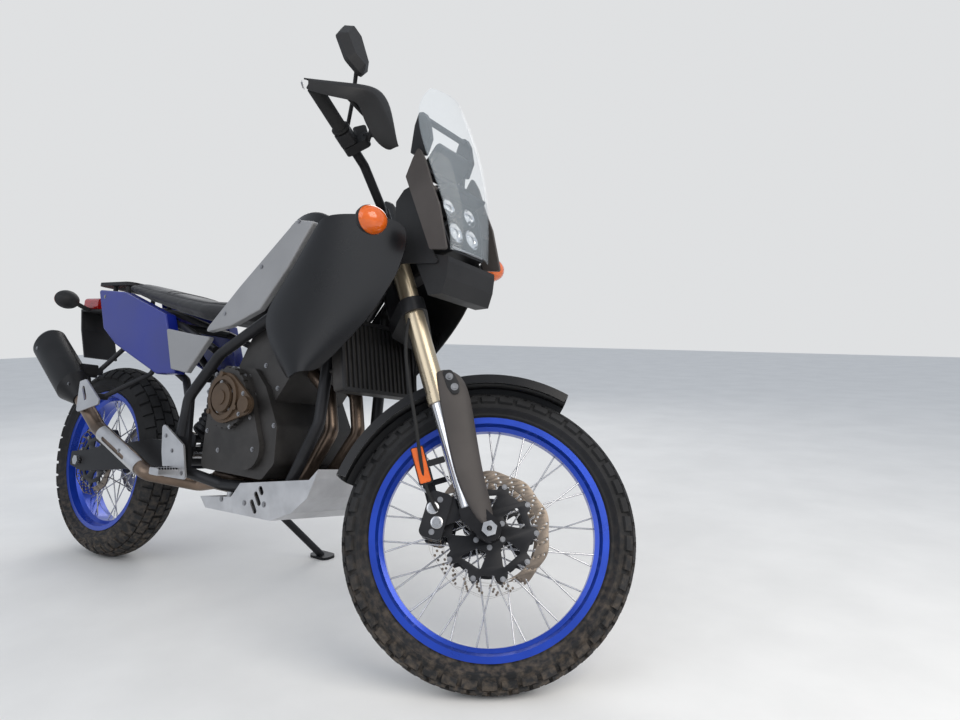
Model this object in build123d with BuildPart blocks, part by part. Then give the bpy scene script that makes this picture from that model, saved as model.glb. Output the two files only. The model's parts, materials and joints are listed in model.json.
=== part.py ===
"""Adventure motorcycle, parked on its side stand with the steering turned to its left stop.

Every piece is drawn on the upright machine, in millimetres: X forwards, Y to the rider's left, Z up
from the floor, with the origin below the rear axle at the standard wheelbase. Pieces that steer are drawn in the fork's own frame and wheels
about their own axle. The last section leans the whole machine onto its stand.
"""
import os
from math import asin, atan2, cos, degrees, radians, sin, sqrt, tan

from build123d import *

os.makedirs("parts", exist_ok=True)

# Stance: the steering axis meets the floor at head_foot, the wheelbase is measured back from the front axle
head_foot = 1700.0
wheelbase = 1595.0
rake = 27.0
trail = 105.0
steer_lock = 35.8
lean = 10.46
rear_axle_x = head_foot - trail - wheelbase

# Wheels: radii reach the tips of the tread blocks
front_radius = 348.0
front_tyre_width = 94.0
front_crown = 50.0
front_bead = 266.7
front_rim_width = 60.0
rear_radius = 333.5
rear_tyre_width = 150.0
rear_crown = 78.0
rear_bead = 228.6
rear_rim_width = 112.0
tyre_wall = 9.0
flange_height = 14.0
well_depth = 13.0
rim_skin = 4.0
axle_diameter = 20.0
axle_bore = 12.0
hub_length = 116.0
hub_seat_radius = 34.0
rear_hub_length = 150.0
spoke_count = 36
spoke_diameter = 4.2
spoke_cross = 58.0
bearing_gap = 0.3

# Brakes
front_disc_diameter = 282.0
rear_disc_diameter = 245.0
disc_thickness = 4.5
front_disc_y = 66.0
rear_disc_y = 84.0
disc_wave = 3.0
wave_count = 10
caliper_gap = 5.5

# Fork, drawn with X square to the steering axis and Z along it
fork_half_width = 100.0
fork_offset = 35.0
fork_outer_diameter = 50.0
fork_inner_diameter = 43.0
fork_top = 1162.0
fork_outer_bottom = 690.0
fork_inner_bottom = 392.0
head_bottom = 954.0
head_top = 1122.0
head_diameter = 60.0
stem_diameter = 30.0
clamp_gap = 3.0
lower_clamp_height = 36.0
upper_clamp_height = 28.0

# Handlebar
bar_diameter = 24.0
bar_end_y = 430.0
bar_bend_y = 205.0
bar_rise_y = 95.0
grip_diameter = 34.0
grip_length = 122.0

# Frame and running gear
tube_diameter = 32.0
rail_diameter = 24.0
swing_pivot_x = 565.0
swing_pivot_z = 415.0
arm_inner_y = 106.0
arm_width = 32.0
chain_y = 91.0
chain_pitch_radius_rear = 116.0
chain_pitch_radius_front = 38.0
chain_width = 18.0
chain_half_height = 8.5
chain_pitch = 15.9
chain_links = 54
front_sprocket_x = 628.0
front_sprocket_z = 430.0

# Side stand
# The pivot is so far behind the foot that the load presses the leg on its forward stop
stand_pivot = (588.0, 136.0, 316.0)
stand_foot_x = 661.0
stand_foot_y = 415.0
stand_leg_diameter = 24.0
stand_foot_thickness = 9.0
stand_travel = 95.0
cap_travel = 100.0

panel_wall = 4.0
boss_diameter = 14.0
seat_gap = 0.3

pieces = {}


def keep(part, label, body="chassis"):
    """Remember a finished piece under its node name and the body that carries it."""
    part.label = label
    pieces[label] = (body, part)


def bent_tube(route, bend, outer, bore=0.0):
    """Round tube along straight runs joined by tangent arcs."""
    with BuildPart() as tube:
        with BuildLine() as path:
            FilletPolyline(*route, radius=bend)
        with BuildSketch(Plane(origin=path.wire() @ 0, z_dir=path.wire() % 0)):
            Circle(outer / 2)
            if bore:
                Circle(bore / 2, mode=Mode.SUBTRACT)
        sweep(path=path.wire())
    return tube.part


def rod(start, end, diameter):
    """Straight round rod between two points."""
    axis = Vector(*end) - Vector(*start)
    with BuildPart() as bar:
        with BuildSketch(Plane(origin=start, z_dir=axis)):
            Circle(diameter / 2)
        extrude(amount=axis.length)
    return bar.part


def side_plate(outline, inner, outer, corner=0.0, both=True):
    """Flat plate with an outline in side view, on the right side or on both."""
    with BuildPart() as plate:
        with BuildSketch(Plane.XZ.offset(inner)) as face:
            with BuildLine():
                Polyline(*outline, close=True)
            make_face()
            if corner:
                fillet(face.vertices(), corner)
        extrude(amount=outer - inner)
        if both:
            mirror(about=Plane.XZ)
    return plate.part


def side_tray(outline, inner, outer, corner, edge, bosses=()):
    """Moulded panel on both sides: a shallow tray, open towards the middle, with round bosses to its seats."""
    with BuildPart() as hollow:
        with BuildSketch(Plane.XZ.offset(inner)) as face:
            with BuildLine():
                Polyline(*outline, close=True)
            make_face()
            fillet(face.vertices(), corner)
            offset(amount=-panel_wall, mode=Mode.REPLACE)
        extrude(amount=outer - inner - panel_wall)
    with BuildPart() as tray:
        with BuildSketch(Plane.XZ.offset(inner)) as face:
            with BuildLine():
                Polyline(*outline, close=True)
            make_face()
            fillet(face.vertices(), corner)
        extrude(amount=outer - inner)
        fillet(tray.faces().sort_by(Axis.Y)[0].edges(), edge)
        add(hollow.part, mode=Mode.SUBTRACT)
        for x, z, seat_y in bosses:
            with BuildSketch(Plane.XZ.offset(seat_y + seat_gap)):
                with Locations((x, z)):
                    Circle(boss_diameter / 2)
            extrude(amount=outer - panel_wall / 2 - seat_y - seat_gap)
        mirror(about=Plane.XZ)
    return tray.part


def lofted(sections, corner):
    """Closed body through upright six sided sections, each symmetric about the middle plane."""
    with BuildPart() as body:
        for x, z_low, z_mid, z_high, y_low, y_mid, y_high in sections:
            right = [(y_low, z_low), (y_mid, z_mid), (y_high, z_high)]
            left = [(-y, z) for y, z in reversed(right)]
            with BuildSketch(Plane.YZ.offset(x)) as section:
                with BuildLine():
                    Polyline(*right, *left, close=True)
                make_face()
                fillet(section.vertices(), corner)
        loft()
    return body.part


# Wheels, each drawn about its own axle

def tyre(radius, width, crown, bead, rim_width):
    """Carcass with an open inside that seats on the rim, spin axis along Y."""
    seat = rim_width / 2 - rim_skin - 1.0
    mid = radius - crown
    inner_crown = crown - tyre_wall
    turn = asin(width / 2 / crown)
    inner_turn = asin((width / 2 - tyre_wall) / inner_crown)
    lip = bead + flange_height + 1.5
    with BuildPart() as carcass:
        with BuildSketch(Plane.XY):
            with BuildLine() as half:
                outer = ThreePointArc((radius, 0), (mid + crown * cos(turn / 2), crown * sin(turn / 2)),
                                      (mid + crown * cos(turn), width / 2))
                wall = Line(outer @ 1, (lip, seat))
                foot = Line(wall @ 1, (bead + 0.5, seat))
                toe = Line(foot @ 1, (bead + 0.5, seat - tyre_wall))
                inside = Line(toe @ 1, (mid + inner_crown * cos(inner_turn), width / 2 - tyre_wall))
                ThreePointArc(inside @ 1,
                              (mid + inner_crown * cos(inner_turn / 2), inner_crown * sin(inner_turn / 2)),
                              (mid + inner_crown, 0))
                mirror(about=Plane.XZ)
            make_face()
        revolve(axis=Axis.Y)
    return carcass.part


def rim(bead, width):
    """Wire wheel rim with a deep well, spin axis along Y."""
    half = width / 2
    well = bead - well_depth
    profile = [
        # radius, y
        (bead + flange_height, half),
        (bead + flange_height, half - rim_skin),
        (bead, half - rim_skin),
        (bead - 3.0, half * 0.5),
        (well, half * 0.35),
    ]
    under = [
        (well - rim_skin, half * 0.42),
        (bead - 3.0 - rim_skin, half * 0.62),
        (bead - 1.0, half),
    ]
    outline = profile + [(r, -y) for r, y in reversed(profile)]
    outline += [(r, -y) for r, y in reversed(under)] + under
    with BuildPart() as ring:
        with BuildSketch(Plane.XY):
            with BuildLine():
                Polyline(*outline, close=True)
            make_face()
        revolve(axis=Axis.Y)
    return ring.part


def spoked_hub(length, flange_radius, flange_y, bead, seats):
    """Hub barrel with two flanges, a seat for each disc and crossed wire spokes that end at the rim's well."""
    reach = bead - well_depth - rim_skin - 0.8
    bore = axle_diameter / 2 + bearing_gap
    half = length / 2
    with BuildPart() as hub:
        with BuildSketch(Plane.XY):
            with BuildLine():
                Polyline((bore, -half), (19, -half), (23, 6 - flange_y - 12), (flange_radius, -flange_y - 5),
                         (flange_radius, 5 - flange_y), (24, 14 - flange_y), (24, flange_y - 14),
                         (flange_radius, flange_y - 5), (flange_radius, flange_y + 5),
                         (23, flange_y + 6), (19, half), (bore, half), close=True)
            make_face()
        revolve(axis=Axis.Y)
        for low, high in seats:
            with BuildSketch(Plane.XZ.offset(-high)):
                Circle(hub_seat_radius)
                Circle(bore, mode=Mode.SUBTRACT)
            extrude(amount=high - low)
        for side in (-1, 1):
            for lead, skew in ((1, 2.6), (-1, -2.6)):
                feet = []
                for step in range(spoke_count // 4):
                    start = radians(1440 / spoke_count * step + 10 * side + 5 * lead)
                    end = start + lead * radians(spoke_cross)
                    foot = Vector((flange_radius - 4) * cos(start), side * (flange_y + skew),
                                  (flange_radius - 4) * sin(start))
                    head = Vector(reach * cos(end), side * (7 + skew), reach * sin(end))
                    feet.append(Plane(origin=foot, z_dir=head - foot))
                    run = (head - foot).length
                with BuildSketch(*feet):
                    Circle(spoke_diameter / 2)
                extrude(amount=run)
    return hub.part


def disc(diameter, y, carrier_radius, carrier_inner):
    """Wave edged brake disc on a six armed carrier."""
    outer = diameter / 2
    ring_width = 30.0
    with BuildPart() as rotor:
        with BuildSketch(Plane.XZ.offset(-y - disc_thickness / 2)):
            Circle(outer)
            with PolarLocations(outer + 30 - disc_wave, wave_count):
                Circle(30, mode=Mode.SUBTRACT)
            Circle(outer - ring_width, mode=Mode.SUBTRACT)
            Circle(carrier_radius)
            with PolarLocations((carrier_radius + outer - ring_width) / 2, 6):
                Rectangle(outer - ring_width - carrier_radius + 8, 14)
            Circle(carrier_inner, mode=Mode.SUBTRACT)
        extrude(amount=disc_thickness)
    return rotor.part


keep(tyre(front_radius, front_tyre_width, front_crown, front_bead, front_rim_width), "front_tyre", "front_wheel")
keep(rim(front_bead, front_rim_width), "front_rim", "front_wheel")
front_seat_y = front_disc_y - disc_thickness / 2 - seat_gap
keep(spoked_hub(hub_length, 40.0, 34.0, front_bead, [(36, front_seat_y), (-front_seat_y, -36)]),
     "front_hub", "front_wheel")
with BuildPart() as front_discs:
    add(disc(front_disc_diameter, front_disc_y, 62.0, 24.0))
    mirror(about=Plane.XZ)
keep(front_discs.part, "front_discs", "front_wheel")

keep(tyre(rear_radius, rear_tyre_width, rear_crown, rear_bead, rear_rim_width), "rear_tyre", "rear_wheel")
keep(rim(rear_bead, rear_rim_width), "rear_rim", "rear_wheel")
rear_seat_y = rear_disc_y - disc_thickness / 2 - seat_gap
keep(spoked_hub(rear_hub_length, 52.0, 44.0, rear_bead, [(-rear_seat_y, -46)]), "rear_hub", "rear_wheel")
keep(disc(rear_disc_diameter, -rear_disc_y, 62.0, 24.0), "rear_disc", "rear_wheel")

sprocket_tip = chain_pitch_radius_rear - chain_half_height - 5.0
with BuildPart() as rear_sprocket:
    with BuildSketch(Plane.XZ.offset(-chain_y - 3.5)):
        Circle(sprocket_tip)
        with PolarLocations(sprocket_tip - 42, 6):
            Circle(17, mode=Mode.SUBTRACT)
        Circle(24, mode=Mode.SUBTRACT)
    extrude(amount=7)
    with BuildSketch(Plane.XZ.offset(-chain_y + 3.5)):
        Circle(46)
        Circle(24, mode=Mode.SUBTRACT)
    extrude(amount=chain_y - 3.5 - 50)
keep(rear_sprocket.part, "rear_sprocket", "rear_wheel")

# Steering, drawn in the fork's frame

axle_fwd = front_radius * sin(radians(rake)) - trail * cos(radians(rake))
axle_along = trail * sin(radians(rake)) + front_radius * cos(radians(rake))
foot_inner_y = fork_half_width - 22.0
foot_outer_y = fork_half_width + 24.0

with BuildPart() as fork_outer_tubes:
    with BuildSketch(Plane.XY.offset(fork_outer_bottom)):
        with Locations((fork_offset, -fork_half_width), (fork_offset, fork_half_width)):
            Circle(fork_outer_diameter / 2)
            Circle(fork_inner_diameter / 2 + bearing_gap, mode=Mode.SUBTRACT)
    extrude(amount=fork_top - fork_outer_bottom)
    with BuildSketch(Plane.XY.offset(fork_top)):
        with Locations((fork_offset, -fork_half_width), (fork_offset, fork_half_width)):
            Circle(fork_outer_diameter / 2)
    extrude(amount=5)
    with BuildSketch(Plane.XY.offset(fork_outer_bottom - 16)):
        with Locations((fork_offset, -fork_half_width), (fork_offset, fork_half_width)):
            Circle(fork_outer_diameter / 2 + 2)
            Circle(fork_inner_diameter / 2 + bearing_gap, mode=Mode.SUBTRACT)
    extrude(amount=24)
keep(fork_outer_tubes.part, "fork_outer_tubes", "steering")



def foot_profile(grow=0.0):
    """Outline of the axle clamp in side view, from the fork tube's end round the axle."""
    with BuildSketch(Plane.XZ.offset(foot_inner_y)) as profile:
        with BuildLine():
            CenterArc((axle_fwd, axle_along), 27 + grow, 0, 360)
            Polyline((fork_offset - 25 - grow, fork_inner_bottom + 26 + grow),
                     (fork_offset + 25 + grow, fork_inner_bottom + 26 + grow),
                     (fork_offset + 25 + grow, fork_inner_bottom), (fork_offset - 25 - grow, fork_inner_bottom),
                     close=True)
        make_hull()
    return profile.sketch


with BuildPart() as fork_lowers:
    with BuildSketch(Plane.XY.offset(fork_inner_bottom)):
        with Locations((fork_offset, -fork_half_width)):
            Circle(fork_inner_diameter / 2)
    extrude(amount=480)
    extrude(foot_profile(), amount=foot_outer_y - foot_inner_y)
    with BuildSketch(Plane.XZ.offset(foot_inner_y)):
        with Locations((axle_fwd, axle_along)):
            Circle(axle_diameter / 2 + bearing_gap)
    extrude(amount=foot_outer_y - foot_inner_y, mode=Mode.SUBTRACT)
    mirror(about=Plane.XZ)
keep(fork_lowers.part, "fork_lowers", "steering")

axle_half = foot_outer_y + 6.0
axle_nut = 10.0
front_axle_length = axle_half + foot_outer_y + seat_gap + axle_nut
with BuildPart() as front_axle:
    with BuildSketch(Plane.XZ.offset(-axle_half)):
        with Locations((axle_fwd, axle_along)):
            Circle(axle_diameter / 2)
            Circle(axle_bore / 2, mode=Mode.SUBTRACT)
    extrude(amount=2 * axle_half)
    with BuildSketch(Plane.XZ.offset(foot_outer_y + seat_gap)):
        with Locations((axle_fwd, axle_along)):
            RegularPolygon(18, 6)
            Circle(axle_bore / 2, mode=Mode.SUBTRACT)
    extrude(amount=axle_nut)
keep(front_axle.part, "front_axle", "steering")

guard_outline = [
    # forwards, along the fork
    (42, 476), (41, 597), (42, 718), (90, 742), (101, 694), (103, 629), (95, 465), (93, 400), (44, 384),
]
guard_inner_y = fork_half_width - 20.0
guard_outer_y = fork_half_width + 33.0
with BuildPart() as fork_guards:
    with BuildSketch(Plane.XZ.offset(guard_inner_y)) as face:
        with BuildLine():
            Polyline(*guard_outline, close=True)
        make_face()
        fillet(face.vertices(), 6)
    extrude(amount=guard_outer_y - guard_inner_y)
    with BuildSketch(Plane.XZ.offset(guard_inner_y)):
        with BuildLine():
            Polyline(*[(x - panel_wall - 2, z) for x, z in guard_outline], close=True)
        make_face()
    extrude(amount=guard_outer_y - guard_inner_y - panel_wall, mode=Mode.SUBTRACT)
    with BuildSketch(Plane.XY.offset(fork_inner_bottom - 20)):
        with Locations((fork_offset, -fork_half_width)):
            Circle(fork_outer_diameter / 2 + 3)
    extrude(amount=420, mode=Mode.SUBTRACT)
    extrude(foot_profile(1.0), amount=foot_outer_y - foot_inner_y + 1, mode=Mode.SUBTRACT)
    mirror(about=Plane.XZ)
keep(fork_guards.part, "fork_guards", "steering")

clamp_table = [
    # bottom, height
    (head_bottom - clamp_gap - lower_clamp_height, lower_clamp_height),
    (head_top + clamp_gap, upper_clamp_height),
]
with BuildPart() as triple_clamps:
    for bottom, height in clamp_table:
        with BuildSketch(Plane.XY.offset(bottom)):
            with BuildLine():
                CenterArc((fork_offset, -fork_half_width), fork_outer_diameter / 2 + 9, 0, 360)
                CenterArc((fork_offset, fork_half_width), fork_outer_diameter / 2 + 9, 0, 360)
                CenterArc((0, 0), 34, 0, 360)
            make_hull()
            with Locations((fork_offset, -fork_half_width), (fork_offset, fork_half_width)):
                Circle(fork_outer_diameter / 2 + bearing_gap, mode=Mode.SUBTRACT)
        extrude(amount=height)
    with BuildSketch(Plane.XY.offset(clamp_table[0][0])):
        Circle(stem_diameter / 2)
    extrude(amount=head_top + clamp_gap - clamp_table[0][0])
keep(triple_clamps.part, "triple_clamps", "steering")

bar_route = [
    # forwards, left, along the fork
    (-52, -bar_end_y, 1381), (14, -bar_bend_y, 1303), (30, -bar_rise_y, 1240),
    (30, bar_rise_y, 1240), (14, bar_bend_y, 1303), (-52, bar_end_y, 1381),
]
riser_y = 45.0
clamp_top = head_top + clamp_gap + upper_clamp_height
bar_centre = Vector(*bar_route[2])
with BuildPart() as handlebar:
    add(bent_tube(bar_route, 55, bar_diameter))
    for side in (-1, 1):
        with BuildSketch(Plane.XY.offset(clamp_top)):
            with Locations((bar_centre.X, side * riser_y)):
                RectangleRounded(38, 34, 9)
        extrude(amount=bar_centre.Z + 18 - clamp_top)
keep(handlebar.part, "handlebar", "steering")

outer_bar = Vector(*bar_route[0])
bar_bend = Vector(*bar_route[1])
bar_run = (bar_bend - outer_bar).normalized()


def on_bar(distance):
    """Point on the right half of the bar, measured inwards from its end."""
    return outer_bar + bar_run * distance


with BuildPart() as grips:
    with BuildSketch(Plane(origin=on_bar(6), z_dir=bar_run)):
        Circle(grip_diameter / 2)
        Circle(bar_diameter / 2 + bearing_gap, mode=Mode.SUBTRACT)
    extrude(amount=grip_length)
    with BuildSketch(Plane(origin=on_bar(6 + grip_length - 5), z_dir=bar_run)):
        Circle(grip_diameter / 2 + 5)
        Circle(bar_diameter / 2 + bearing_gap, mode=Mode.SUBTRACT)
    extrude(amount=5)
    mirror(about=Plane.XZ)
keep(grips.part, "grips", "steering")

control_start = 6 + grip_length + 4
perch = on_bar(control_start + 52)
perch_plane = Plane(origin=perch, x_dir=(1, 0, 0), z_dir=bar_run)
perch_height = 34.0
lever_pivot = perch + Vector(42, -14, -2)
with BuildPart() as bar_controls:
    with BuildSketch(Plane(origin=on_bar(control_start), z_dir=bar_run, x_dir=(0, 0, 1))):
        RectangleRounded(46, 40, 12)
        Circle(bar_diameter / 2 + bearing_gap, mode=Mode.SUBTRACT)
    extrude(amount=34)
    with BuildSketch(perch_plane.offset(-12)):
        with Locations((12, 0)):
            RectangleRounded(66, perch_height, 10)
        Circle(bar_diameter / 2 + bearing_gap, mode=Mode.SUBTRACT)
    extrude(amount=24)
    add(bent_tube([lever_pivot, lever_pivot + Vector(22, -36, 12), lever_pivot + Vector(-22, -116, 42)], 40, 12))
    with BuildSketch(Plane(origin=perch + Vector(30, 2, 10))):
        RectangleRounded(34, 34, 8)
    extrude(amount=34)
    mirror(about=Plane.XZ)
keep(bar_controls.part, "bar_controls", "steering")

guard_sweep = ((-62, -448), (75, -385), (128, -255))
guard_inside = ((-62, -442), (70, -381), (122, -255))
guard_side = [
    # forwards, along the fork: the arm from the bar's end, then the shell before the lever
    (-75, 1366), (-75, 1398), (-20, 1400), (54, 1398), (100, 1418), (140, 1416), (140, 1330), (120, 1296),
    (100, 1290), (72, 1322), (55, 1344), (42, 1361), (21, 1361), (-21, 1354),
]
bar_weight = 22.0
with BuildPart() as hand_guards:
    with BuildSketch(Plane.XY.offset(1270)):
        with BuildLine():
            outer = ThreePointArc(*guard_sweep)
            Line(outer @ 1, guard_inside[2])
            inner = ThreePointArc(*reversed(guard_inside))
            Line(inner @ 1, outer @ 0)
        make_face()
    extrude(amount=160)
    with BuildSketch(Plane.XZ.offset(200)) as face:
        with BuildLine():
            Polyline(*guard_side, close=True)
        make_face()
        fillet(face.vertices(), 6)
    extrude(amount=300, mode=Mode.INTERSECT)
    with BuildSketch(Plane(origin=outer_bar - bar_run * seat_gap, z_dir=-bar_run)):
        Circle(grip_diameter / 2)
    extrude(amount=bar_weight)
    mirror(about=Plane.XZ)
keep(hand_guards.part, "hand_guards", "steering")

mirror_foot = perch_plane.from_local_coords((-6, -perch_height / 2 - seat_gap, 0))
mirror_rise = -perch_plane.y_dir
mirror_turn = radians(35)
mirror_back = Vector(cos(mirror_turn), -sin(mirror_turn), 0)
mirror_plane = Plane(origin=(52, -388, 1496), x_dir=(sin(mirror_turn), cos(mirror_turn), 0), z_dir=mirror_back)
mirror_leaf = [(6, 84), (40, 44), (38, -50), (8, -82), (-34, -52), (-42, 20)]
mirror_stem_end = mirror_plane.from_local_coords((0, -54, 8))
with BuildPart() as mirrors:
    add(bent_tube([mirror_foot, mirror_foot + mirror_rise * 46, Vector(30, -335, 1402), mirror_stem_end], 20, 10))
    for start, depth, narrowing in ((0, 10, 0), (10, 18, 38)):
        with BuildSketch(mirror_plane.offset(start)) as leaf:
            with BuildLine():
                Polyline(*mirror_leaf, close=True)
            make_face()
            fillet(leaf.vertices(), 18)
        extrude(amount=depth, taper=narrowing)
    mirror(about=Plane.XZ)
keep(mirrors.part, "mirrors", "steering")

fender_radius = 392.0
fender_half = 62.0
fender_tail = 143.0
fender_sweep = 100.0
lug_angle = radians(87)
tail_angle = radians(fender_tail)
with BuildPart() as front_fender:
    with BuildSketch(Plane(origin=(axle_fwd, 0, axle_along), x_dir=(cos(tail_angle), 0, sin(tail_angle)),
                           z_dir=(-sin(tail_angle), 0, cos(tail_angle)))):
        with BuildLine():
            Polyline((fender_radius - 30, -fender_half), (fender_radius - 8, -fender_half + 4),
                     (fender_radius, -30), (fender_radius, 30), (fender_radius - 8, fender_half - 4),
                     (fender_radius - 30, fender_half), (fender_radius - 30, fender_half - 4),
                     (fender_radius - 11, fender_half - 9), (fender_radius - 4, 28), (fender_radius - 4, -28),
                     (fender_radius - 11, 9 - fender_half), (fender_radius - 30, 4 - fender_half), close=True)
        make_face()
    revolve(axis=Axis((axle_fwd, 0, axle_along), (0, 1, 0)), revolution_arc=fender_sweep)
    lug_end = guard_inner_y - seat_gap
    lug_reach = fender_radius - 25
    for start in (fender_half - 3, -lug_end):
        with BuildSketch(Plane.XZ.offset(start)):
            with Locations((axle_fwd + lug_reach * cos(lug_angle), axle_along + lug_reach * sin(lug_angle))):
                RectangleRounded(34, 20, 4)
        extrude(amount=lug_end - fender_half + 3)
keep(front_fender.part, "front_fender", "steering")

caliper_angle = 148.0
caliper_radius = 126.0
caliper_centre = (axle_fwd + caliper_radius * cos(radians(caliper_angle)),
                  axle_along + caliper_radius * sin(radians(caliper_angle)))
with BuildPart() as front_calipers:
    with BuildSketch(Plane.XZ.offset(front_disc_y - 26)) as body:
        with Locations(Location((*caliper_centre, 0), caliper_angle - 90)):
            RectangleRounded(106, 54, 14)
    extrude(amount=58)
    with BuildSketch(Plane.XZ.offset(front_disc_y - disc_thickness / 2 - caliper_gap)):
        with Locations((axle_fwd, axle_along)):
            Circle(front_disc_diameter / 2 + 6)
    extrude(amount=disc_thickness + 2 * caliper_gap, mode=Mode.SUBTRACT)
    with BuildSketch(Plane.XZ.offset(front_disc_y + 12)):
        with BuildLine():
            Polyline((caliper_centre[0], caliper_centre[1] + 36), (9.6, caliper_centre[1] + 30),
                     (9.6, caliper_centre[1] - 24), (caliper_centre[0], caliper_centre[1] - 30), close=True)
        make_face()
    extrude(amount=12)
    mirror(about=Plane.XZ)
keep(front_calipers.part, "front_calipers", "steering")

with BuildPart() as reflectors:
    with BuildSketch(Plane.XZ.offset(106)):
        with Locations(Location((-62, 542, 0), 0)):
            RectangleRounded(26, 82, 4)
    extrude(amount=8)
    with BuildSketch(Plane.XZ.offset(102)):
        with Locations((-30, 538)):
            Rectangle(100, 16)
    extrude(amount=4)
    with BuildSketch(Plane.XY.offset(500)):
        with Locations((fork_offset, -fork_half_width)):
            Circle(fork_inner_diameter / 2 + bearing_gap)
    extrude(amount=90, mode=Mode.SUBTRACT)
    mirror(about=Plane.XZ)
keep(reflectors.part, "reflectors", "steering")

# Frame


def on_head(fwd, y, along):
    """Point of the fork's frame, straight ahead, on the upright machine."""
    s, c = sin(radians(rake)), cos(radians(rake))
    return Vector(head_foot + fwd * c - along * s, y, fwd * s + along * c)


# Stance of the machine, worked out from the two tyres as tori on the floor
fork_at = Location(Plane(origin=(head_foot, 0, 0), x_dir=(cos(radians(rake)), 0, sin(radians(rake))),
                         z_dir=(-sin(radians(rake)), 0, cos(radians(rake)))))
steered_at = fork_at * Rotation(0, 0, steer_lock)
front_wheel_at = steered_at * Location((axle_fwd, 0, axle_along))
rear_wheel_at = Location((rear_axle_x, 0, rear_radius))


def lowest(wheel_at, radius, crown):
    """Height of the lowest point of a leaning tyre."""
    tilt = Plane(wheel_at).y_dir.Z
    return wheel_at.position.Z - crown - (radius - crown) * sqrt(1 - tilt * tilt)


pitch = 0.0
for _ in range(12):
    turned = Rotation(0, pitch, 0) * Rotation(-lean, 0, 0)
    front_low = lowest(turned * front_wheel_at, front_radius, front_crown)
    rear_low = lowest(turned * rear_wheel_at, rear_radius, rear_crown)
    pitch += degrees((front_low - rear_low) / wheelbase)
stance = Location((0, 0, -rear_low)) * turned
upright = stance.inverse()

stand_foot = (upright * Location((stand_foot_x, stand_foot_y, stand_foot_thickness))).position
stand_start = Vector(*stand_pivot)
stand_down = (stand_foot - stand_start).normalized()
stand_folded = Vector(-0.97, 0.24, -0.03).normalized()
stand_axis = stand_down.cross(stand_folded).normalized()
eye_thickness = 14.0
eye_radius = 20.0
stand_bolt = 12.0

cradle_y = 108.0
shock_low = (468.0, 458.0)
shock_high = (598.0, 655.0)
shock_eye = 36.0
shock_bolt = 12.0
cheek = 7.0
muffler_stay = (40.0, 134.0, 640.0)
muffler_stay_face = 143.7


def clevis(pin, base, width, thickness, bolt):
    """Two cheeks that reach from a base point to a pin, with the bolt between them."""
    with BuildPart() as ears:
        with BuildSketch(Plane.XZ.offset(width / 2)):
            with BuildLine():
                CenterArc(pin, bolt + 2, 0, 360)
                CenterArc(base, bolt + 4, 0, 360)
            make_hull()
        extrude(amount=thickness)
        mirror(about=Plane.XZ)
        add(rod((pin[0], -width / 2 - thickness, pin[1]), (pin[0], width / 2 + thickness, pin[1]), bolt))
    return ears.part


frame_routes = [
    # points of the right side, bend radius, diameter
    ([on_head(-10, -22, 1090), (1010, -142, 880), (720, -144, 722), (606, -150, 590), (596, -150, 474)], 60,
     tube_diameter),
    ([on_head(-8, -20, 1040), on_head(-100, -80, 1040), (1122, -100, 846), (1122, -cradle_y, 560),
      (1030, -cradle_y, 372), (760, -cradle_y, 352), (640, -142, 372)], 40, tube_diameter),
    ([(668, -124, 735), (430, -84, 808), (120, -84, 880), (-80, -70, 900)], 60, rail_diameter),
    ([(602, -140, 560), (480, -84, 640), (330, -80, 700), (90, -80, 868)], 50, rail_diameter),
]
plate_inner_y = arm_inner_y + arm_width + 1.5
plate_thickness = 12.0
step_plate_y = 226.0
with BuildPart() as main_frame:
    for route, bend, diameter in frame_routes:
        add(bent_tube(route, bend, diameter))
    with BuildSketch(Plane.XZ.offset(plate_inner_y)):
        with BuildLine():
            Polyline((545, 376), (600, 362), (652, 366), (634, 450), (618, 610), (590, 610), (560, 470), close=True)
        make_face()
        with Locations((swing_pivot_x, swing_pivot_z)):
            Circle(10.3, mode=Mode.SUBTRACT)
    extrude(amount=plate_thickness)
    mirror(about=Plane.XZ)
    with BuildSketch(Plane(on_head(0, 0, head_bottom), x_dir=(0, 1, 0), z_dir=on_head(0, 0, 1) - on_head(0, 0, 0))):
        Circle(head_diameter / 2)
    extrude(amount=head_top - head_bottom)
    with BuildSketch(Plane(on_head(0, 0, head_bottom), x_dir=(0, 1, 0), z_dir=on_head(0, 0, 1) - on_head(0, 0, 0))):
        Circle(stem_diameter / 2 + 5)
    extrude(amount=head_top - head_bottom, mode=Mode.SUBTRACT)
    for x, y, z in ((1005, 142, 877), (430, 84, 808), (-60, 72, 898), (658, 146, 650)):
        add(rod((x, -y, z), (x, y, z), rail_diameter))
    add(clevis(shock_high, (652, 650), shock_eye + 1, cheek, shock_bolt))
    add(bent_tube([(150, -80, 826), (96, -80, 736), (muffler_stay[0], -muffler_stay[1], muffler_stay[2])], 20, 16))
    add(rod((muffler_stay[0], -muffler_stay[1] + 10, muffler_stay[2]),
            (muffler_stay[0], -muffler_stay_face, muffler_stay[2]), 26))
    add(bent_tube([(318, -80, 712), (285, -88, 650), (205, -190, 560)], 20, 16))
    add(rod((205, -180, 560), (205, -step_plate_y + seat_gap, 560), 20))
    eye_face = eye_thickness / 2 + 0.5
    add(rod(stand_start + stand_axis * eye_face, stand_start + stand_axis * (eye_face + 22), 36))
    add(rod(stand_start + stand_axis * (eye_face + 18), (640, 150, 382), 28))
    add(rod(stand_start - stand_axis * (eye_face + 2), stand_start + stand_axis * (eye_face + 2), stand_bolt))
    with BuildSketch(Plane(origin=stand_start - stand_axis * eye_face, z_dir=-stand_axis)):
        RegularPolygon(11, 6)
    extrude(amount=7)
keep(main_frame.part, "main_frame")

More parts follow.
